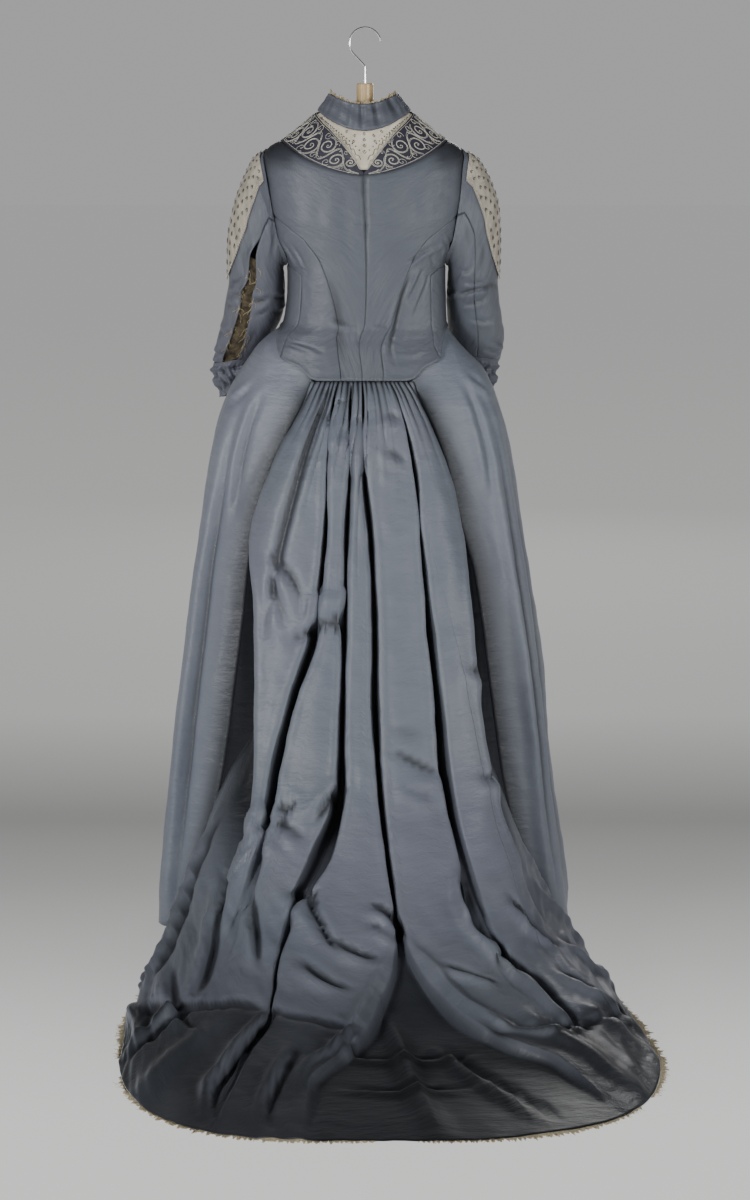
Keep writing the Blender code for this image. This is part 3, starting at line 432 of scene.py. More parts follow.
# Slate silk: slow drifts between near tones, slubs across the piece, a fine cross rib, a faint crumple;
# the attribute shade takes it down to its deep tone
def makeSilk(name, look=silkLook, gain=1.0):
    silk = Shader(name)
    drift = silk.noise(silk.position(), look["driftScale"], 3.0)
    slub = silk.noise(silk.uv(look["slubScale"]), 1.0, 4.0)
    crumple = silk.noise(silk.uv(look["crumpleScale"]), 1.0, 5.0, 0.58)
    weighed = [silk.math("MULTIPLY", *pair) for pair in zip((drift, slub, crumple), look["shares"])]
    blend = silk.math("ADD", silk.math("ADD", *weighed[:2]), weighed[2])
    base = silk.ramp(blend, [(place, tuple(gain * part for part in tone)) for place, tone in look["tones"]])
    cloud = silk.noise(silk.position(), look["violetScale"], 2.0)
    bruise = silk.ramp(cloud, [(0.42, (0, 0, 0)), (0.72, (1, 1, 1))])
    violet = tuple(gain * part for part in look["violet"])
    base = silk.mix(silk.math("MULTIPLY", bruise, look["violetShare"]), base, violet)
    silk.link(silk.mix(silk.value("shade"), look["deep"], base), "Base Color")
    silk.settle(**look["surface"])
    rib = silk.stripes(silk.uv((1, 1, 1)), "Y", look["ribScale"], Distortion=0.6, Detail_Scale=2.0)
    silk.bump([(crumple, *look["crumpleBump"]), (slub, *look["slubBump"]), (rib, *look["ribBump"])])
    return silk.material


# Cloth in two tones by fine noise, with a weave of two crossed sets of stripes, for brocade, lining and net
def makePlain(name, dark, light, scale, weave, roughness, sheen):
    plain = Shader(name)
    cloth = plain.uv((1, 1, 1))
    spots = plain.noise(cloth, scale, 5.0, 0.65)
    plain.link(plain.ramp(spots, [(0.34, dark), (0.62, light)]), "Base Color")
    plain.settle(Roughness=roughness, Sheen_Weight=sheen)
    threads = plain.math("MULTIPLY", *(plain.stripes(cloth, way, weave, Distortion=1.5) for way in "XY"))
    plain.bump([(spots, 0.0012, 0.4), (threads, 0.0004, 0.5)])
    return plain.material


# Thread and cord: two near tones in small spots along it
def makeThread(name, dark, light, roughness):
    thread = Shader(name)
    spots = thread.noise(thread.position(), 420.0, 3.0)
    thread.link(thread.ramp(spots, [(0.35, dark), (0.65, light)]), "Base Color")
    thread.settle(Roughness=roughness)
    thread.bump([(spots, 0.0003, 0.4)])
    return thread.material


def grey(level):
    return (level, level, level)


# Light wood: pale and golden grain, noise drawn out along the piece
def makeWood(name, stretch):
    wood = Shader(name)
    grain = wood.noise(wood.position(stretch), 3.0, 6.0, 0.6)
    tones = [(0.28, (0.40, 0.235, 0.085)), (0.50, (0.66, 0.47, 0.225)), (0.75, (0.76, 0.58, 0.31))]
    wood.link(wood.ramp(grain, tones), "Base Color")
    wood.link(wood.ramp(grain, [(0.3, grey(0.42)), (0.7, grey(0.30))]), "Roughness")
    wood.settle(Coat_Weight=0.3, Coat_Roughness=0.2)
    wood.bump([(grain, 0.0005, 0.3)])
    return wood.material


# Polished wire: fine noise between bright and slightly dull
def makeChrome(name):
    chrome = Shader(name)
    spots = chrome.noise(chrome.position(), 160.0, 4.0)
    chrome.link(chrome.ramp(spots, [(0.35, (0.50, 0.51, 0.53)), (0.6, (0.74, 0.75, 0.77))]), "Base Color")
    chrome.link(chrome.ramp(spots, [(0.3, grey(0.26)), (0.7, grey(0.12))]), "Roughness")
    chrome.settle(Metallic=1.0)
    chrome.bump([(spots, 0.0002, 0.2)])
    return chrome.material


# One slate silk at three brightnesses, each set to how its parts look lit: painted shade darkens the bodice,
# sleeves, collar, cuffs and front breadth, and painted light brightens the gores
silk = makeSilk("slateSilk", gain=0.66)
trainSilk = makeSilk("trainSilk", gain=1.00)
goreSilk = makeSilk("goreSilk", gain=1.10)
darkSilk = makeSilk("violetSilk", {**silkLook, **violetTones})
creamSilk = makePlain("creamBrocade", (0.68, 0.61, 0.47), (0.93, 0.86, 0.70), 26.0, 620.0, 0.5, 0.15)
insetSilk = makePlain("greyedBrocade", (0.36, 0.325, 0.265), (0.58, 0.53, 0.43), 30.0, 620.0, 0.5, 0.15)
liningCloth = makePlain("brownLining", (0.018, 0.013, 0.008), (0.115, 0.090, 0.050), 60.0, 500.0, 0.9, 0.05)
netCloth = makePlain("frayedNet", (0.30, 0.235, 0.125), (0.66, 0.57, 0.39), 240.0, 900.0, 0.9, 0.1)
silverCord = makeThread("silverCreamCord", (0.42, 0.41, 0.36), (0.74, 0.71, 0.62), 0.42)
paleCord = makeThread("paleEdgeCord", (0.46, 0.42, 0.34), (0.70, 0.66, 0.56), 0.5)
darkThread = makeThread("dullVineThread", (0.045, 0.040, 0.036), (0.130, 0.118, 0.104), 0.55)
strawThread = makeThread("strawThread", (0.34, 0.26, 0.13), (0.68, 0.58, 0.38), 0.7)
print("materials made")

# The bodice: seams as the angle from the centre back at each row of the cut

princess = table("row angle", "3.5 66; 3.65 54; 3.8 46; 4.05 37; 5 29.5; 5.9 22.8; 7.3 13.6; 10.15 7")
sideSeam = table("row angle", "5 77; 5.1 64; 5.4 51; 6.5 51; 7.6 51; 10.15 42.5")
frontSideSeam = table("row angle", "5 105; 5.4 112; 6 116; 10.15 118")
lowerEdge = table("angle level", """
    0 10.15; 17 10.15; 20 10.1; 28 9.75; 42.5 9.43; 55 8.6; 70 7.6; 90 7.25; 180 7.25
""")
insertPoint = table("angle level", "0 1.62; 8.2 1.06; 21.4 .56; 41 .25; 90 .03")
rowAt = {"yokeEnd": 1.72, "turn": 2.60, "hip": 6.00, "hem": 10.15, "shoulder": 2.0, "underarm": 5.0}
yokeShape = {"centre": 1.72, "rise": 0.44, "curve": 1.3}
armhole = {"back": 22.0, "front": 26.0, "fullness": 0.4, "rounding": 0.8}
armholeMiddle = (rowAt["shoulder"] + rowAt["underarm"]) / 2
armholeHalf = (rowAt["underarm"] - rowAt["shoulder"]) / 2
waistLevel = 7.25


def lowerEdgeLevel(angle):
    return readTable(lowerEdge, "angle", "level", np.abs(angle))


def insertLevel(angle):
    return readTable(insertPoint, "angle", "level", np.abs(angle))


def yokeLevel(angle):
    side = np.abs(np.sin(np.radians(np.minimum(np.abs(angle), 90.0))))
    return yokeShape["centre"] - yokeShape["rise"] * side ** yokeShape["curve"]


# Rows follow the yoke's edge above and the bodice's lower edge below, and levels between
def bodiceLevel(angle, row):
    top, bottom = yokeLevel(angle), lowerEdgeLevel(angle)
    above = top * row / rowAt["yokeEnd"]
    upper = top + (rowAt["turn"] - top) * (row - rowAt["yokeEnd"]) / (rowAt["turn"] - rowAt["yokeEnd"])
    lower = rowAt["hip"] + (bottom - rowAt["hip"]) * (row - rowAt["hip"]) / (rowAt["hem"] - rowAt["hip"])
    below = np.where(row < rowAt["hip"], row, lower)
    return np.where(row < rowAt["yokeEnd"], above, np.where(row < rowAt["turn"], upper, below))


# The armhole bulges from the shoulder row to the underarm row like a squared arch
def armholeReach(row, widest):
    return widest * np.clip(1 - ((row - armholeMiddle) / armholeHalf) ** 2, 0.0, 1.0) ** armhole["fullness"]


def seamAngle(data, row):
    return readTable(data, "row", "angle", row)


def backEdge(row):
    return np.where(row < 3.5, 90 - armholeReach(row, armhole["back"]), seamAngle(princess, row))


def sideBackEdge(row):
    return np.where(row < 5.0, 90 - armholeReach(row, armhole["back"]), seamAngle(sideSeam, row))


def frontEdge(row):
    return np.where(row < 5.0, 90 + armholeReach(row, armhole["front"]), seamAngle(frontSideSeam, row))


# Creases of the bodice by angle and level, the photograph's own behind and like ones in front
bodiceCreases = creaseTable("""
    trough .015 .003 -30,4.72 -18.5,6.22 -9.5,8.22 -6.5,10.1
    fold .005 .0034 27,5.05 24,5.5 18.5,6.22 14.5,7.02 12.5,8.72 11,9.8
    trough .01 .002 29,5.2 22,6.3 16,7.4 13,9
    fold .0048 .0026 28,5.04 43.5,4.5 60,4.28
    fold .0042 .002 38.5,5.06 31,5.72 25,6.22
    fold .004 .0018 46,5.3 38,6 30,6.6
    fold .0042 .0016 -41,8.78 -28,9.02 -17,9.32
    fold .0034 .0014 -43,8.96 -33,9.14 -24,9.3
    trough .0036 .0014 -48,9.4 -38,9.46
    fold .004 .0024 -67,4.2 -65,4.66 -58,5.1
    fold .004 .0018 -56,4.35 -53,4.8 -48,5.3
    trough .004 .0018 -74,4.6 -66,5.2 -56,5.6
    fold .0045 .0026 51.5,4.18 62,4.4 68,4.75
    fold .004 .0022 56,4.05 66,4.3 74,4.7
    trough .0038 .0018 48,4.6 57,5 66,5.2
    trough .009 .0012 -52,6.6 -44,7.2 -30,7.6
    trough .008 .0012 50,6.9 38,7.2 24,7.3
    fold .005 .0012 36,9 26,9.3 14,9.35
    trough .012 .0014 -20,2.3 -24,3.3 -30,4.3
    trough .013 .0014 22,2.3 27,3.2 33,4.1
    trough .009 .001 -6,2.2 -9,3.6 -8,5
    ridge .012 .001 8,2.4 10,4 8,5.6
    fold .0045 .0014 -20,6.9 -12,7.15 -3,7.2
    fold .0045 .0012 3,7.1 9,7.25 13,7.4
    trough .007 .0012 -30,3 -45,2.8 -62,3.1
    trough .007 .0012 31,2.9 44,2.7 61,3
    fold .005 .002 118,4.7 132,4.9 146,5.6
    fold .005 .0018 -118,4.7 -130,5 -144,5.8
    trough .012 .002 150,2.4 152,3.8 158,5.6
    trough .012 .002 -150,2.5 -153,3.9 -160,5.8
    fold .0048 .0014 122,6.9 136,7.15 150,7.1
    fold .0048 .0014 -121,6.8 -135,7.1 -151,7.05
    trough .006 .0014 172,3.4 174,5 173,6.6
    trough .006 .0014 -172,3.2 -174,4.8 -173,6.4
""")

bodice = {
    "seamDip": 0.0004, "seamWidth": 0.0016,       # the groove at each seam
    "pucker": 0.00038, "puckerRun": 0.0105, "puckerReach": 0.010,
    "wave": (0.0008, 0.075), "fineWave": (0.0003, 0.022),                         # heights and lengths
    "rolledEdge": (0.0011, 0.0045), "stitching": (0.0006, 0.0085, 0.0016), "tuckedTop": (0.0008, 0.0025),
    # painted shade: how dark the seams' grooves, the shoulders beyond the bands and the sides towards the
    # arms go
    "seamGrooveShade": (0.18, 0.0013), "shoulderShade": 0.62, "underArmShade": 0.66, "rows": 80,
    "cuts": {"back": (0.150, 0.420, 0.040), "sideBack": (0.105, 0.310, 0.020),
             "underarm": (0.165, 0.150, 0.0138), "front": (0.230, 0.420, 0.066)},
}


# How a seam lies: down into a narrow groove, with sine puckers of uneven length that fade beside it
def seamLift(across, total, down, look, seed):
    wobble = 1.3 * np.sin(down / 0.031 + seed) + 0.8 * np.sin(down / 0.013 + 2 * seed)
    puckers = look["pucker"] * np.sin(2 * math.pi * down / look["puckerRun"] + wobble)
    lift = 0.0 * across
    for away in (across, total - across):
        lift = lift - look["seamDip"] * bell(away, 0.0, look["seamWidth"])
        lift = lift + puckers * np.exp(-away / look["puckerReach"]) * (1 - bell(away, 0.0, 0.0016))
    return lift


# Dark along the two edges of a piece
def seamShade(across, total, dark, width):
    return 1 - dark * bell(np.minimum(across, total - across), 0.0, width)


# Troughs go darker as they go deeper
def troughShade(lift, start=0.0012, end=0.0042, most=0.72):
    return 1 - most * softStep(-lift, start, end)


def bodicePlace(angle, level, out=0.0):
    return figurePoint(angle, level, gown["bodiceOut"] + out + 0 * angle)


# A panel of the bodice between two seams, over rows of the cut: the figure moved out by the sum of its
# creases, its seams' groove and puckers, two sizes of soft waves and a rolled, stitched lower edge
def bodicePanel(name, node, side, rowEnds, firstEdge, lastEdge, seed, columns):
    look = bodice
    row = np.linspace(*rowEnds, look["rows"])[:, None]
    share = np.linspace(0.0, 1.0, columns)[None, :]
    angle = firstEdge(row) + (lastEdge(row) - firstEdge(row)) * share
    level = bodiceLevel(angle, row + 0 * share)
    angle = side * angle
    base, normal = faceOf(bodicePlace, angle, level)
    across, down = runLengths(base, 1), runLengths(base, 0)
    total, hem = across[:, -1:], down[-1:] - down
    creases = creaseLift(base, normal, bodiceCreases, bodicePlace)
    lift = creases + seamLift(across, total, down, look, seed)
    for step, (height, size) in enumerate((look["wave"], look["fineWave"])):
        lift = lift + height * softWaves(across, down, seed + step, size)
    roll, rollWidth = look["rolledEdge"]
    stitch, stitchAt, stitchWidth = look["stitching"]
    tuck, tuckWidth = look["tuckedTop"]
    lift = lift + roll * bell(hem, 0.0, rollWidth) - stitch * bell(hem, stitchAt, stitchWidth)
    lift = lift - tuck * bell(down, 0.0, tuckWidth)
    # Painted shade: darker in deep creases and along the seams, on the shoulders' tops, which face up away
    # from the lights, and on the sides where the arms shade them
    wide, high = np.abs(base[..., 0]), base[..., 2]
    shoulder = softStep(wide, 0.100, 0.140) * softStep(high, -0.255, -0.215)
    underArm = softStep(np.abs(angle), 56.0, 84.0)
    shade = troughShade(creases) * seamShade(across, total, *look["seamGrooveShade"])
    shade = shade * (1 - look["shoulderShade"] * shoulder) * (1 - look["underArmShade"] * underArm)
    points = base + normal * lift[..., None]
    clothPiece(name, points, normal, silk, [node], values={"shade": shade})


# Edges of a panel, as functions of its rows
def fixed(angle):
    return lambda row, *rest: angle + 0 * row


def seam(data):
    return lambda row: seamAngle(data, row)


for word, side in (("Left", -1), ("Right", 1)):
    low, seed = word.lower(), 11 if side < 0 else 31
    for name, node, top, firstEdge, lastEdge, later, columns in (
            ("backPanel", "back_", 1.72, fixed(0), backEdge, 0, 36),
            ("sideBack", "side_back_", 3.5, seam(princess), sideBackEdge, 3, 40),
            ("underarm", "underarm_", 5.0, seam(sideSeam), seam(frontSideSeam), 5, 36),
            ("frontPanel", "front_", 0.0, frontEdge, fixed(180), 7, 36)):
        bodicePanel(name + word, node + low, side, (top, rowAt["hem"]), firstEdge, lastEdge,
                    seed + later, columns)
print("bodice cut and sewn")


# The yoke: a cream insert to a point and two dark bands that carry scrolls

yoke = {"rows": 26, "columns": 64, "wave": (0.0006, 0.045), "seamDip": 0.0007, "seamWidth": 0.0018,
        "pucker": 0.0002, "puckerRun": 0.008, "puckerReach": 0.006, "seamGrooveShade": (0.5, 0.0011),
        "cuts": {"band": (0.190, 0.075, 0.0098), "insert": (0.180, 0.060, 0.0058)}}


def yokePlace(angle, level, out=0.0):
    return figurePoint(angle, level, gown["yokeOut"] + out + 0 * angle)


# Between two edges of the yoke: the figure moved out by the seams' groove and puckers and by soft waves
def yokePanel(name, node, ends, top, bottom, material, seed):
    angle = np.linspace(*ends, yoke["columns"])[None, :]
    share = np.linspace(0.0, 1.0, yoke["rows"])[:, None]
    level = top(angle) + (bottom(angle) - top(angle)) * share
    base, normal = faceOf(yokePlace, angle + 0 * share, level)
    across, down = runLengths(base, 1), runLengths(base, 0)
    height, size = yoke["wave"]
    lift = seamLift(down, down[-1:], across, yoke, seed) + height * softWaves(across, down, seed, size)
    # Painted shade along the seams at its top and bottom edges
    shade = seamShade(down, down[-1:], *yoke["seamGrooveShade"])
    points = base + normal * lift[..., None]
    clothPiece(name, points, normal, material, [node], values={"shade": shade})


for word, side in (("Left", -1), ("Right", 1)):
    yokePanel("yokeBand" + word, "yoke_band_" + word.lower(), (0.0, side * 90.0), insertLevel, yokeLevel,
              darkSilk, 41 + side)
yokePanel("yokeInsert", "yoke_insert", (-75.0, 75.0), fixed(0), insertLevel, creamSilk,
          47)


# Motifs are sized in metres and drawn in the yoke's own angle and level
yokeScale = {"perDegree": 0.00205, "perLevel": 0.046}
workOut, blossomOut = 0.0004, 0.0003      # how far off the cloth the work lies


# Smooth paths through marks of angle and level
def yokePaths(marks, steps):
    paths, normals = [], []
    for line in marks:
        knots = np.array(line, dtype=float)
        keys = np.arange(len(knots), dtype=float)
        at = np.linspace(0, keys[-1], steps)
        path, normal = faceOf(yokePlace, softCurve(keys, knots[:, 0], at), softCurve(keys, knots[:, 1], at),
                              workOut)
        paths.append(path)
        normals.append(normal)
    return np.array(paths), np.array(normals)


def addCord(name, marks, halfWidth, height, material, taper=0.0, steps=40):
    paths, normals = yokePaths(marks, steps)
    addPiece(name, ribMesh(name, paths, normals, halfWidth, height, taper), material)


# A spiral of so many turns round a place, from its outer end inwards
def spiralMarks(angle, level, radius, turns, start, hand, count=26):
    share = np.linspace(0, 1, count)
    reach = radius * (1 - 0.86 * share)
    turn = start + hand * 2 * math.pi * turns * share
    return np.stack([angle + reach * np.cos(turn) / yokeScale["perDegree"],
                     level + reach * np.sin(turn) / yokeScale["perLevel"]], axis=-1)


# An arch between two places: a straight line plus half a sine wave
def archMarks(start, end, rise, count):
    share = np.linspace(0, 1, count)
    start, end = np.array(start), np.array(end)
    line = start + (end - start) * share[:, None]
    return line + np.array([0.0, rise / yokeScale["perLevel"]]) * np.sin(math.pi * share)[:, None]


# Widths, reaches and shares of the band's width at the scrolls' angles from the centre back
bandWork = {"line": 0.00046, "height": 0.0006, "gap": 0.0018, "blossom": 0.0019, "turns": 1.7,
            "scrolls": (8, 18, 30, 44, 58, 70, 82), "shares": (0.40, 0.66), "reach": 0.31, "swing": 0.31,
            "curlAt": 5.2, "curlShares": (0.16, 0.84), "curl": 0.13, "stem": 0.54, "stemHalf": 0.025,
            "edges": (0.05, 0.95), "leaves": (6, 84, 5.5), "leaf": (1.7, 0.055, 0.0008)}


# A share of the way from the insert's edge to the band's lower edge
def acrossBand(angle, share):
    return insertLevel(angle) + (yokeLevel(angle) - insertLevel(angle)) * share


# The stem's share of the way across: a cosine that turns at every scroll
def stemShare(angle):
    scrolls = bandWork["scrolls"]
    turns = np.interp(angle, scrolls, range(len(scrolls)))
    return bandWork["stem"] + bandWork["swing"] * np.cos(math.pi * turns)


# A running stem that swings from side to side, with a double scroll in each bend and curls between them
def bandMotifs(side):
    look = bandWork
    double, single, flowers, leaves = [], [], [], []
    for index, angle in enumerate(look["scrolls"]):
        wide = float(yokeLevel(angle) - insertLevel(angle)) * yokeScale["perLevel"]
        level = float(acrossBand(angle, look["shares"][index % 2]))
        hand = side * (1 if index % 2 else -1)
        flowers.append((side * angle, level))
        for offset in (0.0, look["gap"]):
            radius = max(look["reach"] * wide - offset, 0.002)
            double.append(spiralMarks(side * angle, level, radius, look["turns"], 1.9 * side * hand, hand))
        beside = angle + look["curlAt"]
        for share, turned in zip(look["curlShares"], (hand, -hand)):
            root = float(acrossBand(beside, share))
            single.append(spiralMarks(side * beside, root, look["curl"] * wide, 1.2, 0.6, turned))
    angle = np.linspace(2, 86, 26)
    for offset in (-look["stemHalf"], look["stemHalf"]):
        single.append(np.stack([side * angle, acrossBand(angle, stemShare(angle) + offset)], axis=-1))
    for share in look["edges"]:
        single.append(np.stack([side * angle, acrossBand(angle, share)], axis=-1))
    long, wide, bow = look["leaf"]
    for angle in np.arange(*look["leaves"]):
        root = float(acrossBand(angle, stemShare(angle)))
        for lean in (-1, 1):
            tip = (side * (angle + long), root + wide * lean)
            leaves.append(archMarks((side * angle, root), tip, bow * lean, 7))
    return double, single, flowers, leaves


def addBlossoms(name, places, radius, material, petals=5):
    places = np.array(places, dtype=float)
    centre, normal = faceOf(yokePlace, places[:, 0], places[:, 1], blossomOut)
    run = unitVectors(np.cross(normal, np.array([0.31, 0.1, 0.94])))
    size = np.full(len(centre), radius)
    addPiece(name, blossomMesh(name, centre, normal, run, size, petals), material)


for word, side in (("Left", -1), ("Right", 1)):
    double, single, flowers, leaves = bandMotifs(side)
    line, height = bandWork["line"], bandWork["height"]
    addCord("bandSpirals" + word, double, line * 1.15, height, silverCord, 0.3, 64)
    addCord("bandStems" + word, single, line, height, silverCord, 0.3)
    addCord("bandFronds" + word, leaves, line * 1.4, height, silverCord, 0.85, 12)
    addBlossoms("bandBlossoms" + word, flowers, bandWork["blossom"], paleCord, 6)

insertWork = {
    "vine": (0.80, 0.045, 1.35),                 # its share of the insert's depth, its swing and how quick
    "scallops": (2.0, 60, 3.4), "scallopWide": 3.2, "scallopAt": 0.95, "scallopRise": -0.0030,
    "starBeside": 1.7, "starAt": 0.6138, "star": 0.0017,
    "columns": (-40, 41, 10), "rows": (0.16, 1.2, 0.25), "stagger": 0.10, "fieldEnd": 0.62,
    "sprig": (0.05, 1.5, -0.04, 0.0008), "fieldStar": -0.06,
}


# The insert's work: a wavy dark vine with pale scallops along both edges, star flowers and sprigs
def insertMotifs():
    look = insertWork
    vines, scallops, sprigs, stars = [], [], [], []
    share, swing, quick = look["vine"]
    for side in (-1, 1):
        angle = np.linspace(2.0, 62, 150)
        wave = swing * np.sin(angle * quick)
        vines.append(np.stack([side * angle, insertLevel(angle) * share + wave], axis=-1))
        for start in np.arange(*look["scallops"]):
            ends = [(side * at, float(insertLevel(at)) * look["scallopAt"])
                    for at in (start, start + look["scallopWide"])]
            scallops.append(archMarks(*ends, look["scallopRise"], 7))
            at = start + look["starBeside"]
            stars.append((side * at, float(insertLevel(at)) * look["starAt"]))
    first, end, step = look["rows"]
    root, wide, tip, bow = look["sprig"]
    for column, angle in enumerate(np.arange(*look["columns"])):
        for level in np.arange(first + look["stagger"] * (column % 2), end, step):
            if level < float(insertLevel(angle)) * look["fieldEnd"]:
                stars.append((angle, level + look["fieldStar"]))
                for lean in (-1, 1):
                    ends = ((angle, level + root), (angle + wide * lean, level + tip))
                    sprigs.append(archMarks(*ends, bow * lean, 6))
    return vines, scallops, sprigs, stars


vines, scallops, sprigs, stars = insertMotifs()
addCord("insertVine", vines, 0.00050, 0.0005, darkThread, 0.0, 420)
addCord("insertScallops", scallops, 0.00050, 0.0005, paleCord, 0.2, 10)
addCord("insertSprigs", sprigs, 0.00042, 0.0004, darkThread, 0.7, 8)
addBlossoms("insertStars", stars, insertWork["star"], darkThread)
rim = np.linspace(-74, 74, 60)
addCord("insertCord", [np.stack([rim, insertLevel(rim)], axis=-1)], 0.0009, 0.0013, paleCord,
        steps=240)
print("yoke worked")


# The collar: a stand band crushed into upright creases, with frayed net inside its top

collar = {"half": 0.0585, "middle": -0.0030, "back": 0.048, "front": 0.046,
          "zBack": -0.1287, "zSide": -0.1100, "zFront": -0.1560, "wall": 0.0022, "thick": 0.0016,
          "creases": 13, "creaseDepth": 0.0020, "fine": 0.0007, "rolled": 0.0011, "sewn": 0.0009,
          "cross": 0.0008, "collarCreaseShade": 0.55, "columns": 240, "rows": 22, "cut": (0.430, 0.060, 0.0178)}
collarNet = {"rise": 0.0030, "rag": 0.0024, "tuck": 0.0060, "inside": 0.0008, "ripple": 0.0012,
             "columns": 300, "rows": 7, "thick": 0.0005, "threads": 110, "threadWidth": 0.00022,
             "threadRise": (0.003, 0.0085), "cut": (0.330, 0.012, 0.0031)}


def collarWave(turn):
    return np.sin(collar["creases"] * turn + 1.2 * np.sin(3 * turn)) * (0.55 + 0.45 * np.sin(2 * turn + 0.6))


# Loose straw threads, as thick as they are wide
def addThreads(name, paths, normals, width, taper):
    addPiece(name, ribMesh(name, paths, normals, width, width, taper), strawThread)


# Straight up from its seam at rise 0 to an oval rim at rise 1, moved out by uneven upright waves that grow
# towards the top
def collarPoint(angle, rise, out):
    turn = np.radians(angle)
    seamOut = gown["bodiceOut"] + gown["clear"] + collar["wall"] / 2
    base = figurePoint(angle, 0 * angle, seamOut + 0 * angle)
    depth = np.where(np.cos(turn) > 0, collar["back"], collar["front"])
    endZ = np.where(np.cos(turn) > 0, collar["zBack"], collar["zFront"])
    side = np.sin(turn)
    z = endZ + (collar["zSide"] - endZ) * side ** 2
    top = np.stack([collar["middle"] + collar["half"] * side, -depth * np.cos(turn), z], axis=-1)
    point = base + (top - base) * rise[..., None]
    outward = unitVectors(np.stack([side / collar["half"], -np.cos(turn) / depth, 0 * side], axis=-1))
    crease = collar["creaseDepth"] * collarWave(turn) * np.sin(math.pi * np.clip(rise, 0.0, 1.0) * 0.62)
    return point + outward * (out + crease)[..., None], outward


# Angles all round and rises from 0 to 1
def collarGrid(look):
    angles = np.linspace(-180, 180, look["columns"], endpoint=False)
    return np.meshgrid(angles, np.linspace(0, 1, look["rows"]))


# The band's face: out from its middle by half the wall, fine ripples, a rolled top, a sewn foot and creases
# that run across it
def makeCollar():
    angle, rise = collarGrid(collar)
    turn = np.radians(angle)
    fine = collar["fine"] * np.sin(29 * turn + 2 * np.sin(5 * turn)) * np.sin(math.pi * rise) ** 0.7
    ends = collar["rolled"] * bell(rise, 1.0, 0.07) - collar["sewn"] * bell(rise, 0.0, 0.05)
    cross = collar["cross"] * np.sin(9 * rise + 4 * np.sin(2 * turn)) * np.sin(math.pi * rise)
    points, outward = collarPoint(angle, rise, collar["wall"] / 2 + fine + ends + cross)
    # Painted shade in the troughs of the upright creases, stronger higher up
    dark = softStep(-collarWave(turn), 0.25, 0.95) * np.sin(math.pi * np.clip(rise, 0.04, 1) * 0.62)
    clothPiece("standCollar", points, outward, silk, ["collar"], ring=True,
               values={"shade": 1 - collar["collarCreaseShade"] * dark}, thick=collar["thick"])


# The net rises from inside the rim to a ragged sum of sines, and loose threads stand above it
def makeCollarNet():
    look = collarNet
    angle, rise = collarGrid(look)
    turn = np.radians(angle)
    ragged = np.sin(11 * turn) * np.sin(4 * turn + 1) + 0.5 * np.sin(23 * turn)
    ragged = ragged + 0.5 * np.sin(61 * turn + 3 * np.sin(7 * turn))
    height = look["rise"] + look["rag"] * ragged + look["tuck"]
    ripple = look["ripple"] * rise * np.sin(37 * turn + 2 * np.sin(3 * turn))
    points, outward = collarPoint(angle, 1 + 0 * rise, ripple - collar["wall"] / 2 - look["inside"])
    points[..., 2] += height * rise - look["tuck"]
    clothPiece("collarNet", points, outward, netCloth, ["collar_edging"], ring=True,
               thick=look["thick"])
    draw = np.random.default_rng(5)
    count = look["threads"]
    start = draw.uniform(-180, 180, count)[:, None]
    share = np.linspace(0, 1, 9)[None, :]
    angle = start + draw.normal(0, 3.5, (count, 1)) * share + 1.2 * np.sin(7 * share + start)
    out = -0.0009 + draw.uniform(-0.003, 0.003, (count, 1)) * share
    points, outward = collarPoint(angle, 1 + 0 * angle, out)
    points[..., 2] += -0.002 + draw.uniform(*look["threadRise"], (count, 1)) * np.sin(1.9 * share)
    addThreads("collarThreads", points, outward, look["threadWidth"], 0.5)


makeCollar()
makeCollarNet()
print("collar raised")


# The skirt: two side gores and a front breadth, long soft folds that grow downwards

skirtFolds = table("angle half height", """
    -152 13 .02; -118 11 .014; -72 9 .01; 66 8 .009; 112 12 .015; 150 12 .02; 180 9 -.012; -180 9 -.012
""")
skirt = {"foldStart": 9.5, "foldEnd": 16.0, "tuckBelow": 1.0, "tuckFade": 0.6, "frontSeam": 128.0,
         "rows": 110, "rowGrowth": 1.25, "seamDip": 0.0012, "seamWidth": 0.0026,
         "pucker": 0.0005, "puckerRun": 0.016, "puckerReach": 0.014, "gather": 0.0022, "gatherRun": 0.0125,
         "waveStretch": 0.22}
# The gores and the plainer front: how far their gathers reach, how these drift and swirl, the waves' height
# and length, and the painted shade in a band under the bodice's edge and along the gore's edge beside the
# train
goreLook = {"columns": 64, "gatherReach": 0.05, "drift": 0.041, "swirl": 1.0, "wave": (0.00336, 0.070),
            "waveSeed": 0, "fineWave": 0.0008, "stitching": 0.0012, "underBodiceShade": 0.4, "trainEdgeShadow": 0.88,
            "cut": (0.520, 1.130, 0.345)}
frontLook = {"columns": 80, "gatherReach": 0.06, "drift": 0.037, "swirl": 0.0, "wave": (0.00308, 0.080),
             "waveSeed": -2, "fineWave": 0.0, "stitching": 0.0, "underBodiceShade": 0.0, "trainEdgeShadow": 0.0,
             "cut": (0.620, 1.150, 0.610)}
levelMarks = np.linspace(7.0, 17.0, 2001)
levelHeights = figureColumn("zSide", levelMarks)


def levelAtHeight(z):
    return np.interp(-np.asarray(z), -levelHeights, levelMarks)


# The angle at which the back of a ring has that x
def angleAtReach(x, level):
    reach = (np.asarray(x) - figureColumn("middle", level)) / figureColumn("half", level)
    side = np.clip(np.abs(reach), 0.0, 1.0) ** (figureColumn("square", level) / 2)
    return np.degrees(np.arcsin(side)) * np.sign(reach)


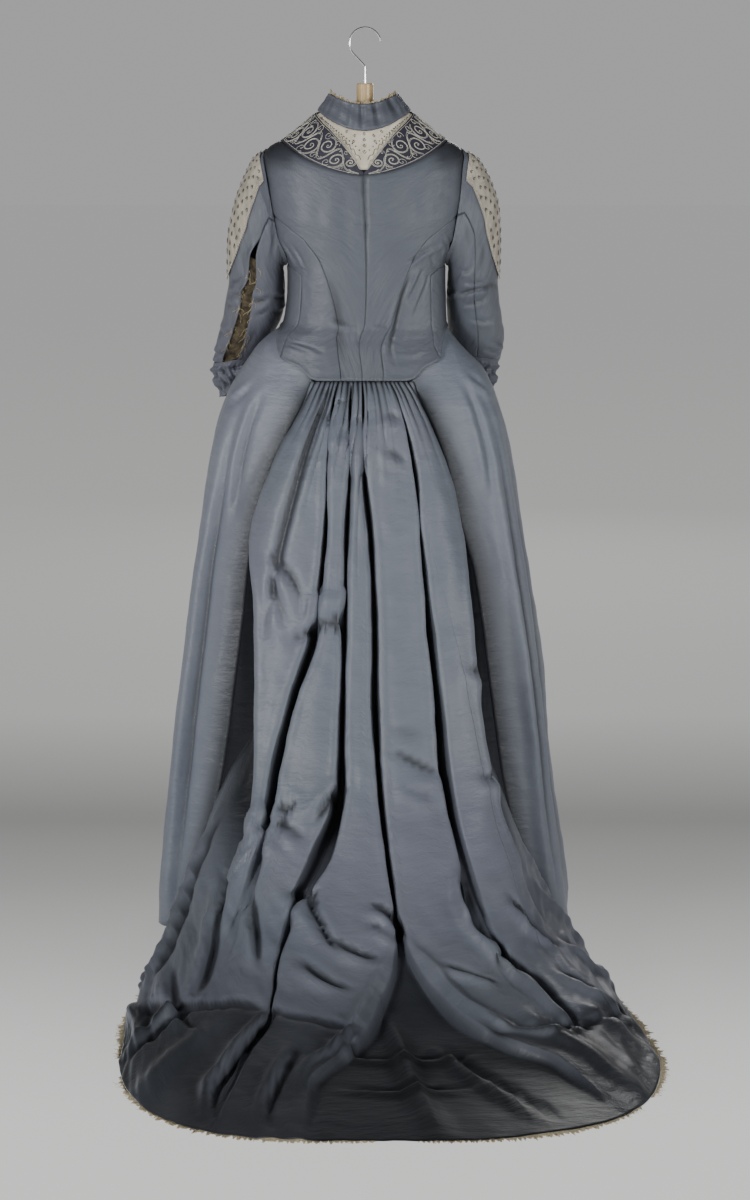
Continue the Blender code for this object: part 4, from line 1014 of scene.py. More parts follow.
# The figure below the waist with its folds as bells round some angles, tucked in under the bodice's back
def skirtPoint(angle, level, out=0.0):
    grown = softStep(level, skirt["foldStart"], skirt["foldEnd"])
    fold = 0.0 * angle
    for place, half, height in zip(*(skirtFolds[word] for word in ("angle", "half", "height"))):
        fold = fold + height * bell(angle, place, half)
    edge = lowerEdgeLevel(angle)
    tuck = np.clip((edge + skirt["tuckBelow"] - level) / skirt["tuckFade"], 0.0, 1.0)
    tuck = tuck * np.clip((edge - waistLevel) / 0.1, 0.0, 1.0)
    return figurePoint(angle, level, out + fold * grown + gown["underBasque"] * tuck)


# The train from its gathers to its hem, as in the solids: the edges sewn to the gores, how far it widens
# beyond them, where its middle runs, how square the curve across is and how far its folds stand out
train = table("station left right widenLeft widenRight edgeZ middleY middleZ square stand", """
     0 -.0916 .0813    0    0  -.6026 -.0992  -.6026 2.3  .001
     1  -.103  .096    0    0   -.632  -.108    -.63 2.3  .014
     2  -.128  .119    0    0   -.685  -.122    -.68 2.4  .022
     3   -.16  .143    0    0   -.755   -.14    -.76 2.5  .029
     4  -.188  .162    0    0    -.84  -.162    -.88 2.5  .034
     5  -.205  .188 .004 .004    -.93  -.186   -1.02 2.5  .037
     6  -.216  .205 .008 .008   -1.03  -.218   -1.16 2.5   .04
     7  -.228  .218 .012 .014   -1.13  -.264   -1.29 2.4  .042
     8   -.24  .231  .02 .024   -1.22  -.328    -1.4 2.4  .043
     9  -.252  .243 .032  .04    -1.3  -.408   -1.49 2.4  .043
    10  -.266  .256 .048 .062   -1.37  -.498  -1.552 2.4  .041
    11   -.28  .269 .066 .088   -1.43   -.59  -1.586 2.4  .037
    12  -.293  .285 .088  .13   -1.48  -.685  -1.597 2.5  .032
    13  -.305  .301  .11 .174   -1.52   -.79  -1.598 2.6  .027
    14  -.316  .318 .134  .22  -1.555  -.895  -1.598 2.7  .021
    15  -.326  .333 .156 .262  -1.582   -.99  -1.598 2.8  .013
    16  -.335  .345 .176   .3 -1.5983  -1.08 -1.5985 2.9 .0008
""")
# Where the narrow valleys between its pleats have their left and right edges, as shares of the curve
# across; recess is where the left lobe begins and lobe where the right one ends
valleys = table("station recess oneL oneR twoL twoR threeL threeR fourL fourR lobe", """
     0  .03 .247 .275  .38  .41 .485 .515 .775 .792 .955
     1  .03 .247 .275  .38  .41 .485 .515 .775 .792 .955
     2 .034 .274 .299 .402 .428 .491 .514 .772 .792  .95
     3 .042 .323 .343 .435  .46 .506 .538  .77 .788 .945
     4  .07  .36  .38 .447 .468 .544 .574 .748 .765 .925
     5 .167 .345 .378  .44 .463 .535  .56 .706  .73 .851
     6 .217 .304  .33 .439 .458 .523 .548 .685 .714 .809
     7 .253  .29 .316 .438 .465 .531 .548 .672   .7 .795
     8 .272 .296  .32 .402 .444  .54 .553 .672 .695  .79
     9 .268 .296 .319 .378 .398 .548 .557 .672 .695  .79
    10 .262 .295 .318 .378  .39 .539 .571 .672 .695  .79
    11 .255 .295 .318 .388 .395 .517 .591 .672 .695  .79
    12  .25 .295 .318 .394   .4 .498 .602 .672 .695  .79
    13 .245 .295 .318 .394   .4 .471  .62 .672 .695  .79
    14  .24 .295 .318 .394   .4  .45  .64 .678   .7  .79
    16  .24 .295 .318 .394   .4  .45 .638 .678   .7  .79
""")
# How deep each valley is at each station, as a share of the pleats' height and of extra below it
valleyDepth = table("station recess one two three four lobe", """
      0   0   0   0  0   0   0
     .6  .1  .5  .5 .5  .5  .2
    1.6  .4 .95   1  1   1  .5
      4  .9   1   1  1   1  .9
      7   1   1   1  1 .95  .9
      8  .8 .75 .65  1 .55  .7
      9 .35  .2  .5 .6  .3  .4
     10 .15 .08 .42 .4 .18 .25
     12   0   0 .35 .8 .05 .15
     14   0   0  .3 .8   0 .12
     16   0   0  .2 .5   0 .05
""")
valleyForm = {   # the two edges' columns, how far below the base it goes, and its walls' width
    "recess": (None, "recess", 0.030, 0.022), "one": ("oneL", "oneR", 0.013, 0.0065),
    "two": ("twoL", "twoR", 0.013, 0.0065), "three": ("threeL", "threeR", 0.015, 0.0070),
    "four": ("fourL", "fourR", 0.013, 0.0065), "lobe": ("lobe", None, 0.026, 0.020)}
rightSeam = table("station place", "0 .8; 6 .775; 16 .74")
# Where the train stops hanging and lies on the floor, at each place across
floorBreak = table("place station", """
    0 16; .185 15.3; .247 13.9; .32 12.5; .367 11.8; .4 11.7; .468 11.95; .5 12.1; .6 12.2; .68 12.9
    .74 13.6; .8 14.6; 1 16
""")
trainLook = {
    "edgeShare": 0.40, "edgeReach": 0.17, "sag": 0.9,
    "roll": 0.0017, "rollWidth": 0.0055, "crown": 0.0045,
    "highCrease": 1.5, "lowCrease": 2.1, "stationRun": 0.11, "rowRun": 0.0115,
    "wave": 0.0017, "slowWave": (1.2, 0.16), "quickWave": (0.5, 0.055),
    "gathers": 22, "gather": 0.0080, "gatherEnd": 3.4,
    # painted shade: how dark the valleys, the pinches between gathers, a band under the bodice's edge, the
    # sewn edges, the flat-lying cloth, the opened middle valley and the lower train go, and how much and how
    # large the painted sheen patches on the flat-lying cloth are
    "hollowDark": 0.93, "gatherDark": 0.94, "underBodiceShade": (0.55, 0.16), "sewnDark": (0.75, 0.014),
    "lyingDark": 0.90, "sheenPatchLight": 0.20, "patches": 0.19, "openDark": 0.82, "lowDark": 0.20,
    "spans": [("start", "recess", 26), ("recess", "oneL", 50), ("oneL", "oneR", 18), ("oneR", "twoL", 30),
              ("twoL", "seamLeft", 10), ("seamLeft", "twoR", 10), ("twoR", "threeL", 24),
              ("threeL", "threeR", 36), ("threeR", "fourL", 32), ("fourL", "fourR", 18),
              ("fourR", "seamRight", 16), ("seamRight", "lobe", 28), ("lobe", "end", 58)],
    "cuts": {"left": (0.80, 1.36, 0.585), "centre": (0.80, 1.62, 0.805), "right": (0.34, 1.36, 0.238)},
}

# Creases of the train by station and place across
trainCreases = creaseTable("""
    trough .009 .006 .7,.182 2,.189 3,.202 4,.208 5.3,.212
    fold .006 .004 4.35,.15 4.5,.228 4.85,.3
    fold .0045 .0026 4.6,.17 4.9,.215 5.2,.262
    fold .004 .0024 1.95,.22 2.1,.3
    fold .0036 .002 2.35,.36 2.45,.432
    fold .004 .0024 1.8,.618 2.1,.725
    fold .0045 .0026 2.65,.6 2.8,.66 2.95,.705
    fold .0034 .0016 3.05,.603 3.15,.698
    fold .0055 .004 6.62,.556 6.85,.61 7.1,.668
    fold .004 .003 6.85,.556 7,.603 7.15,.652
    fold .005 .003 7.05,.562 7.25,.613 7.4,.64
    trough .008 .002 6.25,.555 6.35,.66
    fold .0075 .006 8.45,.668 8.8,.655 9.2,.652 9.7,.664
    fold .006 .005 8.95,.503 9.1,.528 9.5,.546
    fold .005 .004 9.3,.5 9.42,.522 9.62,.54
    fold .007 .0045 8.85,.36 9.1,.4 9.7,.438
    fold .006 .004 8.8,.4 9.3,.43 9.9,.455
    fold .006 .0044 4.8,.362 5,.322 5.1,.28
    fold .006 .005 8,.27 8.12,.3 8.2,.345
    fold .006 .004 7.75,.3 7.9,.34 8,.385
    fold .007 .005 6.9,.44 7.1,.415 7.5,.385
    fold .006 .004 5.8,.77 6,.8 6.2,.845
    fold .006 .0035 7.4,.74 7.7,.79 7.9,.84
    trough .014 .006 15.4,.185 13.95,.247 12.55,.32 11.85,.367 11.75,.4
    trough .012 .005 11.7,.403 11.8,.44 12,.468 12.15,.495
    fold .01 .008 11.6,.393 13.05,.385 13.9,.383 14.6,.38 15.6,.388
    fold .011 .009 8.65,.664 9.5,.654 10.75,.68 11.85,.692 12.8,.685 13.6,.684
    ridge .015 .009 11.2,.527 12.2,.528 13.2,.525 14.5,.524 15.8,.527
    fold .012 .006 12.4,.56 13.4,.568 14.6,.582 15.7,.59
    fold .01 .005 12.8,.43 13.8,.424 14.8,.42 15.7,.424
    ridge .018 .007 12.9,.35 14,.34 15,.334 15.9,.33
    fold .012 .006 12.6,.3 13.8,.286 15,.276 15.8,.27
    ridge .016 .006 13.6,.24 14.6,.225 15.8,.212
    fold .011 .005 13.4,.19 14.6,.17 15.7,.15
    ridge .017 .007 12.4,.65 13.6,.66 14.8,.664 15.8,.668
    fold .012 .006 12.2,.735 13.2,.745 14.4,.756 15.7,.76
    ridge .016 .006 13.2,.72 14.4,.722 15.7,.724
    fold .012 .006 12.2,.8 13.4,.82 14.6,.832 15.7,.838
    ridge .014 .006 10.5,.85 12,.868 13.6,.88 15.2,.89
    fold .01 .005 9.5,.88 11,.905 12.8,.92 14.6,.928
    fold .008 .004 12.6,.46 12.9,.5 13,.545 12.9,.59
    fold .008 .0034 14,.47 14.2,.52 14.1,.57
    fold .009 .004 13,.215 13.3,.26 13.5,.31 13.4,.35
    fold .009 .0036 14.6,.2 14.8,.25 14.7,.3
    trough .013 .005 12.6,.61 13,.65 13.45,.69 14.2,.735 15,.79
    ridge .009 .0075 9.6,.541 10.5,.516 11.45,.497 12.15,.484 12.95,.462 13.45,.447 14.6,.438
    ridge .009 .0075 9.6,.569 10.05,.584 10.65,.599 11.45,.607 12.05,.615 12.8,.629 13.3,.655 13.5,.68
    fold .009 .005 9.2,.3 9.9,.33 10.6,.352
    fold .008 .0045 10.2,.405 10.6,.44 10.9,.48
    fold .007 .004 9.6,.44 9.9,.48 10.1,.52
    fold .011 .0055 9,.22 10.4,.255 11.8,.28 12.6,.29
    fold .011 .006 8.8,.12 10.6,.15 12.6,.18 14.2,.2
    trough .013 .006 9.6,.08 11.4,.1 13.4,.12 15,.128
    fold .009 .005 10.4,.6 10.9,.63 11.4,.655
    fold .01 .0055 9.6,.73 10.8,.75 12,.775
""")


# The curve across the train at each station, read at that row's places: a squared arch between its two
# sewn edges, whose height sags to the middle
def trainCurves(stations, places):
    edgeZ = readTable(train, "station", "edgeZ", stations)
    level = levelAtHeight(edgeZ)
    ends = [skirtPoint(angleAtReach(readTable(train, "station", word, stations), level), level,
                       gown["trainWall"] / 2 + gown["clear"]) for word in ("left", "right")]
    turn = np.linspace(0.0, math.pi, 721)[None, :]
    row = {word: readTable(train, "station", word, stations)[:, None] for word in train if word != "station"}
    left, right, leftY, rightY = (ends[index][:, [axis]] for axis in (0, 1) for index in (0, 1))
    sharp, spread = 2.0 / row["square"], np.sin(turn)
    widen = np.where(turn < math.pi / 2, row["widenLeft"], row["widenRight"])
    x = (left + right) / 2 - ((right - left) / 2 + widen * spread) * signedPower(np.cos(turn), sharp)
    edgeY = leftY + (rightY - leftY) * turn / math.pi
    y = edgeY + (row["middleY"] - edgeY) * spread ** sharp
    z = row["edgeZ"] + (row["middleZ"] - row["edgeZ"]) * spread ** trainLook["sag"]
    curves = np.stack([x, y, z], axis=-1)
    lengths = runLengths(curves, 1)
    read = [[np.interp(place * length[-1], length, curve[:, axis]) for axis in range(3)]
            for place, length, curve in zip(places, lengths, curves)]
    return np.array(read).transpose(0, 2, 1), lengths[:, -1]


# Columns that keep to the valleys' edges, closer together towards each edge
def trainColumns(stations):
    marks = {word: readTable(valleys, "station", word, stations) for word in valleys if word != "station"}
    marks["start"], marks["end"] = 0 * stations, 1 + 0 * stations
    marks["seamLeft"] = (marks["twoL"] + marks["twoR"]) / 2
    seamRight = readTable(rightSeam, "station", "place", stations)
    marks["seamRight"] = np.maximum(seamRight, marks["fourR"] + 0.012)
    places, seams, count = [], {}, 0
    for first, last, cells in trainLook["spans"]:
        seams[first] = count
        part = np.linspace(0, 1, cells, endpoint=False)
        part = 0.55 * part + 0.45 * (1 - np.cos(math.pi * part)) / 2
        places.append(marks[first][:, None] + (marks[last] - marks[first])[:, None] * part[None, :])
        count += cells
    places.append(marks["end"][:, None])
    seams["end"] = count
    return np.concatenate(places, axis=1), marks, seams


# How deep each place lies in its valley: soft walls from both edges, times the pleats' height and the extra
# below it. Hollow is the same from 0 on the pleats to 1 at the bottom, and it sets the painted shade there.
def valleyShape(station, places, marks, length):
    depth, hollow = 0.0 * places, 0.0 * places
    stand = readTable(train, "station", "stand", station)
    floorward = softStep(station, 10.0, 12.0)
    for word, (first, last, extra, wall) in valleyForm.items():
        left = (marks[first] if first else marks["start"] - 0.03)[:, None]
        right = (marks[last] if last else marks["end"] + 0.03)[:, None]
        wallShare = wall * (1 + 0.6 * floorward)[:, None] / length[:, None]
        wallShare = np.minimum(wallShare, 0.45 * (right - left))
        inside = softStep(places, left, left + wallShare) * softStep(-places, -right, wallShare - right)
        share = readTable(valleyDepth, "station", word, station)[:, None]
        full = share * (stand + extra * (1 - floorward))[:, None]
        depth = np.maximum(depth, inside * full)
        hollow = np.maximum(hollow, np.sqrt(inside) * np.clip(share * 1.25, 0, 1))
    return depth, hollow


# How far the cloth stands out from the curves: the pleats' height, lower towards the sewn edges, less the
# valleys' depth, plus a small roll along every pleat's edge and a round crown on each pleat
def pleatLift(stations, places, marks, length):
    look, station = trainLook, stations[:, None]
    fromEdge = np.minimum(places, 1 - places)
    share = look["edgeShare"] + (1 - look["edgeShare"]) * softStep(fromEdge, 0.0, look["edgeReach"])
    depth, hollow = valleyShape(stations, places, marks, length)
    lift = readTable(train, "station", "stand", station) * share - depth
    upright = 1 - softStep(station, 11.0, 13.0)
    for word, (first, last, _, _) in valleyForm.items():
        deep = readTable(valleyDepth, "station", word, station)
        for edge, away in ((first, -1), (last, 1)):
            if edge:
                beside = (places - marks[edge][:, None]) * length[:, None] * away / look["rollWidth"]
                lift = lift + look["roll"] * deep * bell(beside, 1.0, 1.0) * (0.4 + 0.6 * upright)
    for first, last in (("recess", "oneL"), ("oneR", "twoL"), ("twoR", "threeL"), ("threeR", "fourL"),
                        ("fourR", "lobe")):
        wide = (marks[last] - marks[first])[:, None]
        part = np.clip((places - marks[first][:, None]) / wide, 0, 1)
        lift = lift + look["crown"] * np.sin(math.pi * part) * upright * softStep(station, 0.5, 3.0)
    return lift, hollow


# The train's gathers: arches side by side, each as strong as it was drawn and fading at its own station
def gatherLift(station, places):
    look = trainLook
    phase = look["gathers"] * (places + 0.007 * np.sin(23 * places + 1.0) + 0.004 * np.sin(61 * places))
    gather = np.clip(np.floor(phase).astype(int) + 3, 0, 39)
    draw = np.random.default_rng(17)
    ends, strength = draw.uniform(0.35, 1.6, 40)[gather], draw.uniform(0.7, 1.25, 40)[gather]
    fade = 1 - softStep(station / ends, 0.3, look["gatherEnd"])
    arch = np.abs(np.sin(math.pi * phase))
    return look["gather"] * strength * (arch ** 0.7 - 0.75) * fade, arch, fade


# Turns marks of station and place into points of the grid, read between its rows and evened over five steps
def gridPlace(stations, places, grid):
    def onRow(index, place):
        return np.array([np.interp(place, places[index], grid[index, :, axis]) for axis in range(3)])

    def place(at, across):
        rows = np.interp(at, stations, np.arange(len(stations)))
        low = np.clip(np.floor(rows).astype(int), 0, len(stations) - 2)
        path = np.array([onRow(index, value) * (1 - part) + onRow(index + 1, value) * part
                         for index, value, part in zip(low, across, rows - low)])
        return np.stack([np.convolve(np.pad(path[:, axis], 2, mode="edge"), np.ones(5) / 5, "valid")
                         for axis in range(3)], axis=-1)
    return place


# Creases that cross the rows are made no finer than the rows
def widened(crease):
    kind, width, height, marks = crease
    (startStation, startPlace), (endStation, endPlace) = marks[0], marks[-1]
    crossing = abs(endStation - startStation) * trainLook["stationRun"] < 1.8 * abs(endPlace - startPlace)
    return kind, max(width, trainLook["rowRun"]) if crossing else width, height, marks


def faceNormals(grid):
    return unitVectors(np.cross(np.gradient(grid, axis=0), np.gradient(grid, axis=1)))


# Painted shade: dark in the valleys, between gathers, in a band under the bodice's edge, along the sewn edges
# and in troughs, in the opened middle valley and more towards the bottom, darkest where the cloth lies flat
# beyond the floor's line and faces up, away from the lights, with painted sheen patches there
def trainShade(station, places, marks, length, normal, down, hollow, creases, arch, fade):
    look = trainLook
    breakAt = readTable(floorBreak, "place", "station", places)
    lying = softStep(station - breakAt, -0.20, 0.45) * softStep(normal[..., 2], 0.35, 0.92)
    patches = 0.5 + 0.5 * softWaves((places - 0.5) * length, down, 79, look["patches"])
    pinch = 1 - look["gatherDark"] * (1 - arch) ** 1.1 * fade
    underBodiceShade, topReach = look["underBodiceShade"]
    sewnDark, sewnReach = look["sewnDark"]
    sewn = bell(np.minimum(places, 1 - places) * length, 0.0, sewnReach) * softStep(station, 0.4, 1.6)
    pinch = pinch * (1 - underBodiceShade * bell(station, 0.0, topReach)) * (1 - sewnDark * sewn)
    shade = 1 - look["hollowDark"] * hollow * (1 - 0.55 * softStep(station, 8.0, 10.0))
    shade = shade * pinch * troughShade(creases, 0.0008, 0.0058, 0.74)
    shade = shade * (1 - lying * (look["lyingDark"] - look["sheenPatchLight"] * np.clip(patches, 0, 1)))
    first, last = marks["threeL"][:, None], marks["threeR"][:, None]
    opened = softStep(places, first, first + 0.012) * softStep(-places, -last, 0.012 - last)
    shade = shade * (1 - look["openDark"] * opened * softStep(station, 9.2, 10.2))
    return np.clip(shade * (1 - look["lowDark"] * softStep(station, 7.5, 12.5)), 0.0, 1.0)


# The train: its curves moved out by the pleats and the gathers, then by the creases and soft waves, and
# kept above the floor
def makeTrain():
    look = trainLook
    stations = np.concatenate([np.linspace(0, 3, 46, endpoint=False), np.linspace(3, 16, 168)])
    station = stations[:, None]
    places, marks, seams = trainColumns(stations)
    base, length = trainCurves(stations, places)
    normal = faceNormals(base)
    pleats, hollow = pleatLift(stations, places, marks, length)
    gathers, arch, fade = gatherLift(station, places)
    middle = base + normal * (pleats + gathers)[..., None]
    lean = faceNormals(middle)
    lines = [widened(crease) for crease in trainCreases]
    creases = creaseLift(middle, normal, lines, gridPlace(stations, places, middle))
    lower = softStep(station, 7.0, 10.0)
    creases = creases * (look["highCrease"] + (look["lowCrease"] - look["highCrease"]) * lower)
    length = length[:, None]
    across, down = (places - 0.5) * length, runLengths(base, 0).mean(axis=1, keepdims=True) + 0 * places
    soft = sum(share * softWaves(across, down, seed, size)
               for seed, (share, size) in ((71, look["slowWave"]), (73, look["quickWave"])))
    grown = softStep(station, 0.6, 2.4) * (1 + 0.9 * softStep(station, 8.0, 11.0)) * (1 - 0.9 * hollow)
    outer = middle + lean * (creases + look["wave"] * soft * grown)[..., None] + lean * gown["trainWall"] / 2
    outer[..., 2] = np.maximum(outer[..., 2], gown["floor"] + gown["trainWall"])
    final = faceNormals(outer)
    shade = trainShade(station, places, marks, length, final, down, hollow, creases, arch, fade)
    for word, first, last in (("left", "start", "seamLeft"), ("centre", "seamLeft", "seamRight"),
                              ("right", "seamRight", "end")):
        part = slice(seams[first], seams[last] + 1)
        clothPiece("train" + word.title(), outer[:, part], final[:, part], trainSilk,
                   ["train_" + word], values={"shade": shade[:, part]})
    return outer[-1], places[-1]


# Creases of the gores and the front by angle and level
skirtCreases = creaseTable("""
    fold .012 .008 -62,11.2 -66,13 -68,15 -70,16.8
    trough .016 .008 -84,10.8 -87,12.6 -88,14.6 -90,16.6
    fold .01 .006 -50,10.6 -52,11.6 -54,12.8
    fold .007 .004 -58,10.2 -66,10.6 -76,10.8
    trough .014 .007 -104,10.6 -106,13 -106,16
    fold .012 .008 56,11 59,12.8 61,15 62,16.8
    trough .015 .007 78,10.8 81,12.8 83,14.8 85,16.7
    fold .009 .005 46,10.5 48,11.5 50,12.6
    trough .014 .007 98,10.7 99,13.2 98,16.2
    fold .0065 .0036 52,10.1 60,10.4 70,10.7
    fold .012 .006 134,10.2 137,12.6 138,15.6
    fold .012 .006 -134,10.4 -136,12.8 -138,15.8
    trough .015 .006 166,9.6 165,12 165,15.4
    trough .015 .006 -164,9.8 -165,12.2 -164,15.6
    fold .011 .005 176,10.8 174,13 175,16
""")


# A skirt panel between two edges, from the waist to the floor: the folded figure moved out by its seams,
# gathers that fade downwards, stretched soft waves, creases and a line of stitching above the hem
def skirtPanel(name, node, firstAngle, lastAngle, seed, look, material):
    top, bottom = float(figureColumn("zSide", waistLevel)) - gown["clear"], float(train["edgeZ"][-1])
    heights = top + (bottom - top) * np.linspace(0, 1, skirt["rows"]) ** skirt["rowGrowth"]
    level = levelAtHeight(heights)[:, None]
    first, last = (edge(heights, level[:, 0])[:, None] for edge in (firstAngle, lastAngle))
    share = np.linspace(0.0, 1.0, look["columns"])[None, :]
    angle = first + (last - first) * share
    angle = np.where(angle > 180, angle - 360, angle)
    base, normal = faceOf(skirtPoint, angle, level + 0 * share)
    across, down = runLengths(base, 1), runLengths(base, 0)
    creases = creaseLift(base, normal, skirtCreases, skirtPoint)
    phase = math.pi * across / skirt["gatherRun"] + look["swirl"] * np.sin(across / 0.05)
    drift = 0.5 + 0.5 * np.sin(across / look["drift"] + look["swirl"] * seed)
    gathers = skirt["gather"] * (np.abs(np.sin(phase)) - 0.6) * np.exp(-down / look["gatherReach"]) * drift
    height, size = look["wave"]
    grown = softStep(down, 0.05, 0.45)
    lift = seamLift(across, across[:, -1:], down, skirt, seed) + creases + gathers
    waves = softWaves(across, down * skirt["waveStretch"], seed + look["waveSeed"], size)
    lift = lift + height * waves * grown
    lift = lift + look["fineWave"] * softWaves(across, down, seed + 2, 0.045)
    lift = lift - look["stitching"] * bell(down[-1:] - down, 0.045, 0.0022)
    points = base + normal * lift[..., None]
    points[..., 2] = np.maximum(points[..., 2], gown["floor"] + gown["trainWall"])
    # Painted shade: darker in deep creases, in a band at the top under the bodice's edge, and along the edge
    # beside the train, where its lobe shades the gore
    shade = troughShade(creases, 0.002, 0.008, 0.6) * (1 - look["underBodiceShade"] * np.exp(-down / 0.012))
    shade = shade * (1 - look["trainEdgeShadow"] * bell(across, 0.0, 0.030) * softStep(down, 0.03, 0.16))
    clothPiece(name, points, normal, material, [node], values={"shade": shade})


# The angle at which the train is sewn to a gore, at each height
def goreEdge(word):
    def edge(heights, level):
        station = np.interp(-heights, -train["edgeZ"], train["station"])
        return angleAtReach(readTable(train, "station", word, station), level)
    return edge


for word, side, seed in (("Left", -1, 91), ("Right", 1, 95)):
    skirtPanel("sideGore" + word, "side_gore_" + word.lower(), goreEdge(word.lower()),
               fixed(side * skirt["frontSeam"]), seed, goreLook, goreSilk)
skirtPanel("frontBreadth", "front_breadth", fixed(skirt["frontSeam"]), fixed(360 - skirt["frontSeam"]),
           99, frontLook, silk)
hemLine, hemPlaces = makeTrain()
print("skirt and train laid")


# Frayed lace beyond the hem, in uneven stretches, with loose threads
lace = {
    "stretches": {     # the solid, the first and last of its cells, how far it shows and its cut
        "Left": ("hem_lace_left", 6, 17, 0.013, (0.53, 0.013, 0.0035)),
        "MiddleLeft": ("hem_lace_middle_left", 19, 33, 0.011, (0.52, 0.013, 0.0037)),
        "MiddleRight": ("hem_lace_middle_right", 35, 46, 0.012, (0.46, 0.013, 0.0029)),
        "Right": ("hem_lace_right", 47, 58, 0.013, (0.52, 0.013, 0.0040))},
    "columns": 300, "off": 0.0004, "floorGap": 0.0009, "ripple": 0.0014, "thick": 0.0005,
    "threads": 60, "threadLength": (0.006, 0.015), "threadRise": (0.0016, 0.0022), "threadWidth": 0.0003,
}
cellPlaces = table("cell place", """
    0 0; 9 .14; 15 .23; 21 .32; 27 .415; 30 .455; 36 .525; 45 .64; 51 .74; 57 .84; 61 .915; 66 1
""")


def alongHem(values, place):
    return np.stack([np.interp(place, hemPlaces, values[:, axis]) for axis in range(3)], axis=-1)


# A stretch reaches out from the hem by half a sine over its length, times slow waves and quick fraying, and
# sinks to the floor; its threads lie beyond it at drawn places
def makeLace(word, node, first, last, shows, cut, seed):
    run = np.gradient(hemLine, axis=0)
    beyond = unitVectors(np.stack([run[:, 1], -run[:, 0], 0 * run[:, 0]], axis=-1))
    cell = np.linspace(first, last, lace["columns"])
    place = readTable(cellPlaces, "cell", "place", cell)
    hem, side = alongHem(hemLine, place), unitVectors(alongHem(beyond, place))
    wave = 0.75 + 0.25 * np.sin(9.0 * cell) * np.sin(2.3 * cell)
    fray = 1 + 0.35 * np.sin(41 * cell + 3 * np.sin(5 * cell)) + 0.25 * np.sin(97 * cell)
    reach = shows * (0.35 + 0.65 * np.sin(math.pi * (cell - first) / (last - first))) * wave * fray
    share = np.linspace(0, 1, 5)[:, None]
    points = hem[None] + side[None] * (lace["off"] + share * reach[None])[..., None]
    ripple = lace["ripple"] * (1 + np.sin(23 * cell + 2 * np.sin(3 * cell)))
    points[..., 2] = hem[None, :, 2] * (1 - share) + (gown["floor"] + lace["floorGap"] + ripple[None]) * share
    points[..., 2] = np.maximum(points[..., 2], gown["floor"] + 0.0008)
    upwards = np.array([0.0, 0.0, 1.0])
    outward = np.broadcast_to(upwards, points.shape)
    clothPiece("hemLace" + word, points, outward, netCloth, [node],
               thick=lace["thick"])
    draw = np.random.default_rng(seed)
    at = draw.integers(8, 291, lace["threads"])
    steps = np.linspace(0, 1, 8)[None, :]
    lean = draw.normal(0, 0.5, (len(at), 1)) * steps ** 2
    length = draw.uniform(*lace["threadLength"], (len(at), 1)) * steps
    forward = unitVectors(np.gradient(hem, axis=0))[at][:, None]
    paths = hem[at][:, None] + side[at][:, None] * (0.001 + length)[..., None]
    paths = paths + forward * (0.008 * lean)[..., None]
    low, rise = lace["threadRise"]
    paths[..., 2] = gown["floor"] + low + rise * np.sin(3.0 * steps + at[:, None]) ** 2
    addThreads("hemThreads" + word, paths, np.broadcast_to(upwards, paths.shape), lace["threadWidth"], 0.5)


for index, (word, stretch) in enumerate(lace["stretches"].items()):
    makeLace(word, *stretch, 100 + index)
print("lace laid")


# The sleeves as rings from the armhole to the cuff, as in the solids
sleeveColumns = "ring outerX outerZ innerX innerZ depth swing"
sleeveTables = {
    "Left": table(sleeveColumns, """
         1  -.196  -.225  -.14 -.406  .05 .004
         2 -.2135  -.262 -.143 -.408 .053 .006
         3 -.2295   -.31 -.144 -.412 .053  .01
         4 -.2395  -.368 -.143 -.422 .051 .015
         5 -.2408 -.4256 -.142 -.442  .05 .022
         6  -.245 -.4555 -.143  -.47 .049 .032
         7  -.254 -.5031  -.15 -.503 .048 .046
         8 -.2651 -.5439 -.166 -.534 .046 .064
         9 -.2726 -.5812 -.182 -.564 .043 .085
        10 -.2764  -.599 -.191 -.585 .041 .095
        11  -.272   -.62 -.196 -.606  .04 .101
        12  -.262  -.648 -.205 -.632 .036 .107
    """),
    "Right": table(sleeveColumns, """
         1  .199  -.226 .1435 -.407  .05 .004
         2 .2185  -.262  .145 -.408 .053 .006
         3  .233   -.31  .146 -.412 .053  .01
         4 .2358  -.368 .1455 -.422 .051 .015
         5 .2345 -.4256  .145 -.442  .05 .024
         6 .2355 -.4555  .145  -.47 .049 .037
         7 .2435 -.5031  .146 -.503 .048 .055
         8 .2482   -.54  .149 -.531 .046 .077
         9  .244  -.576  .152 -.561 .043   .1
        10 .2385  -.595  .153 -.582 .041 .113
        11 .2365  -.616 .1605 -.603  .04 .119
        12  .232   -.64  .175 -.629 .036 .124
    """),
}
openSeam = table("ring outerLip innerLip", """
    0 94 94; 2.6 94 94; 4 80 91; 5 74 91; 6 64 85; 7 64 87; 8 61 92; 9.2 55 93
""")
insetEdge = table("ring back front", """
    .35 52 -60; 1 58 -62; 2 62 -64; 3 63 -62; 4 52 -50; 4.6 34 -30; 5.2 5 -3
""")
sleeve = {"frontSeam": -100.0, "rightBackSeam": 88.0, "over": 0.0029, "end": 9.2, "rows": 92, "columns": 62,
          "seamDip": 0.0004, "seamWidth": 0.0015, "pucker": 0.0004, "puckerRun": 0.009, "puckerReach": 0.010,
          "wave": (0.0009, 0.060), "fineWave": (0.0004, 0.020), "gather": (0.0016, 0.022, 0.0115),
          "lipCurl": 0.0045, "lipWidth": 0.006, "seamGrooveShade": (0.2, 0.0012), "innerSideShade": 0.80,
          "innerHalf": 42.0, "insetCalm": 0.6,
          "cuts": {"upper": (0.230, 0.440, 0.0600), "under": (0.220, 0.300, 0.0330),
                   "inset": (0.150, 0.230, 0.0228), "cuff": (0.300, 0.075, 0.0205),
                   "lining": (0.110, 0.190, 0.0112)}}
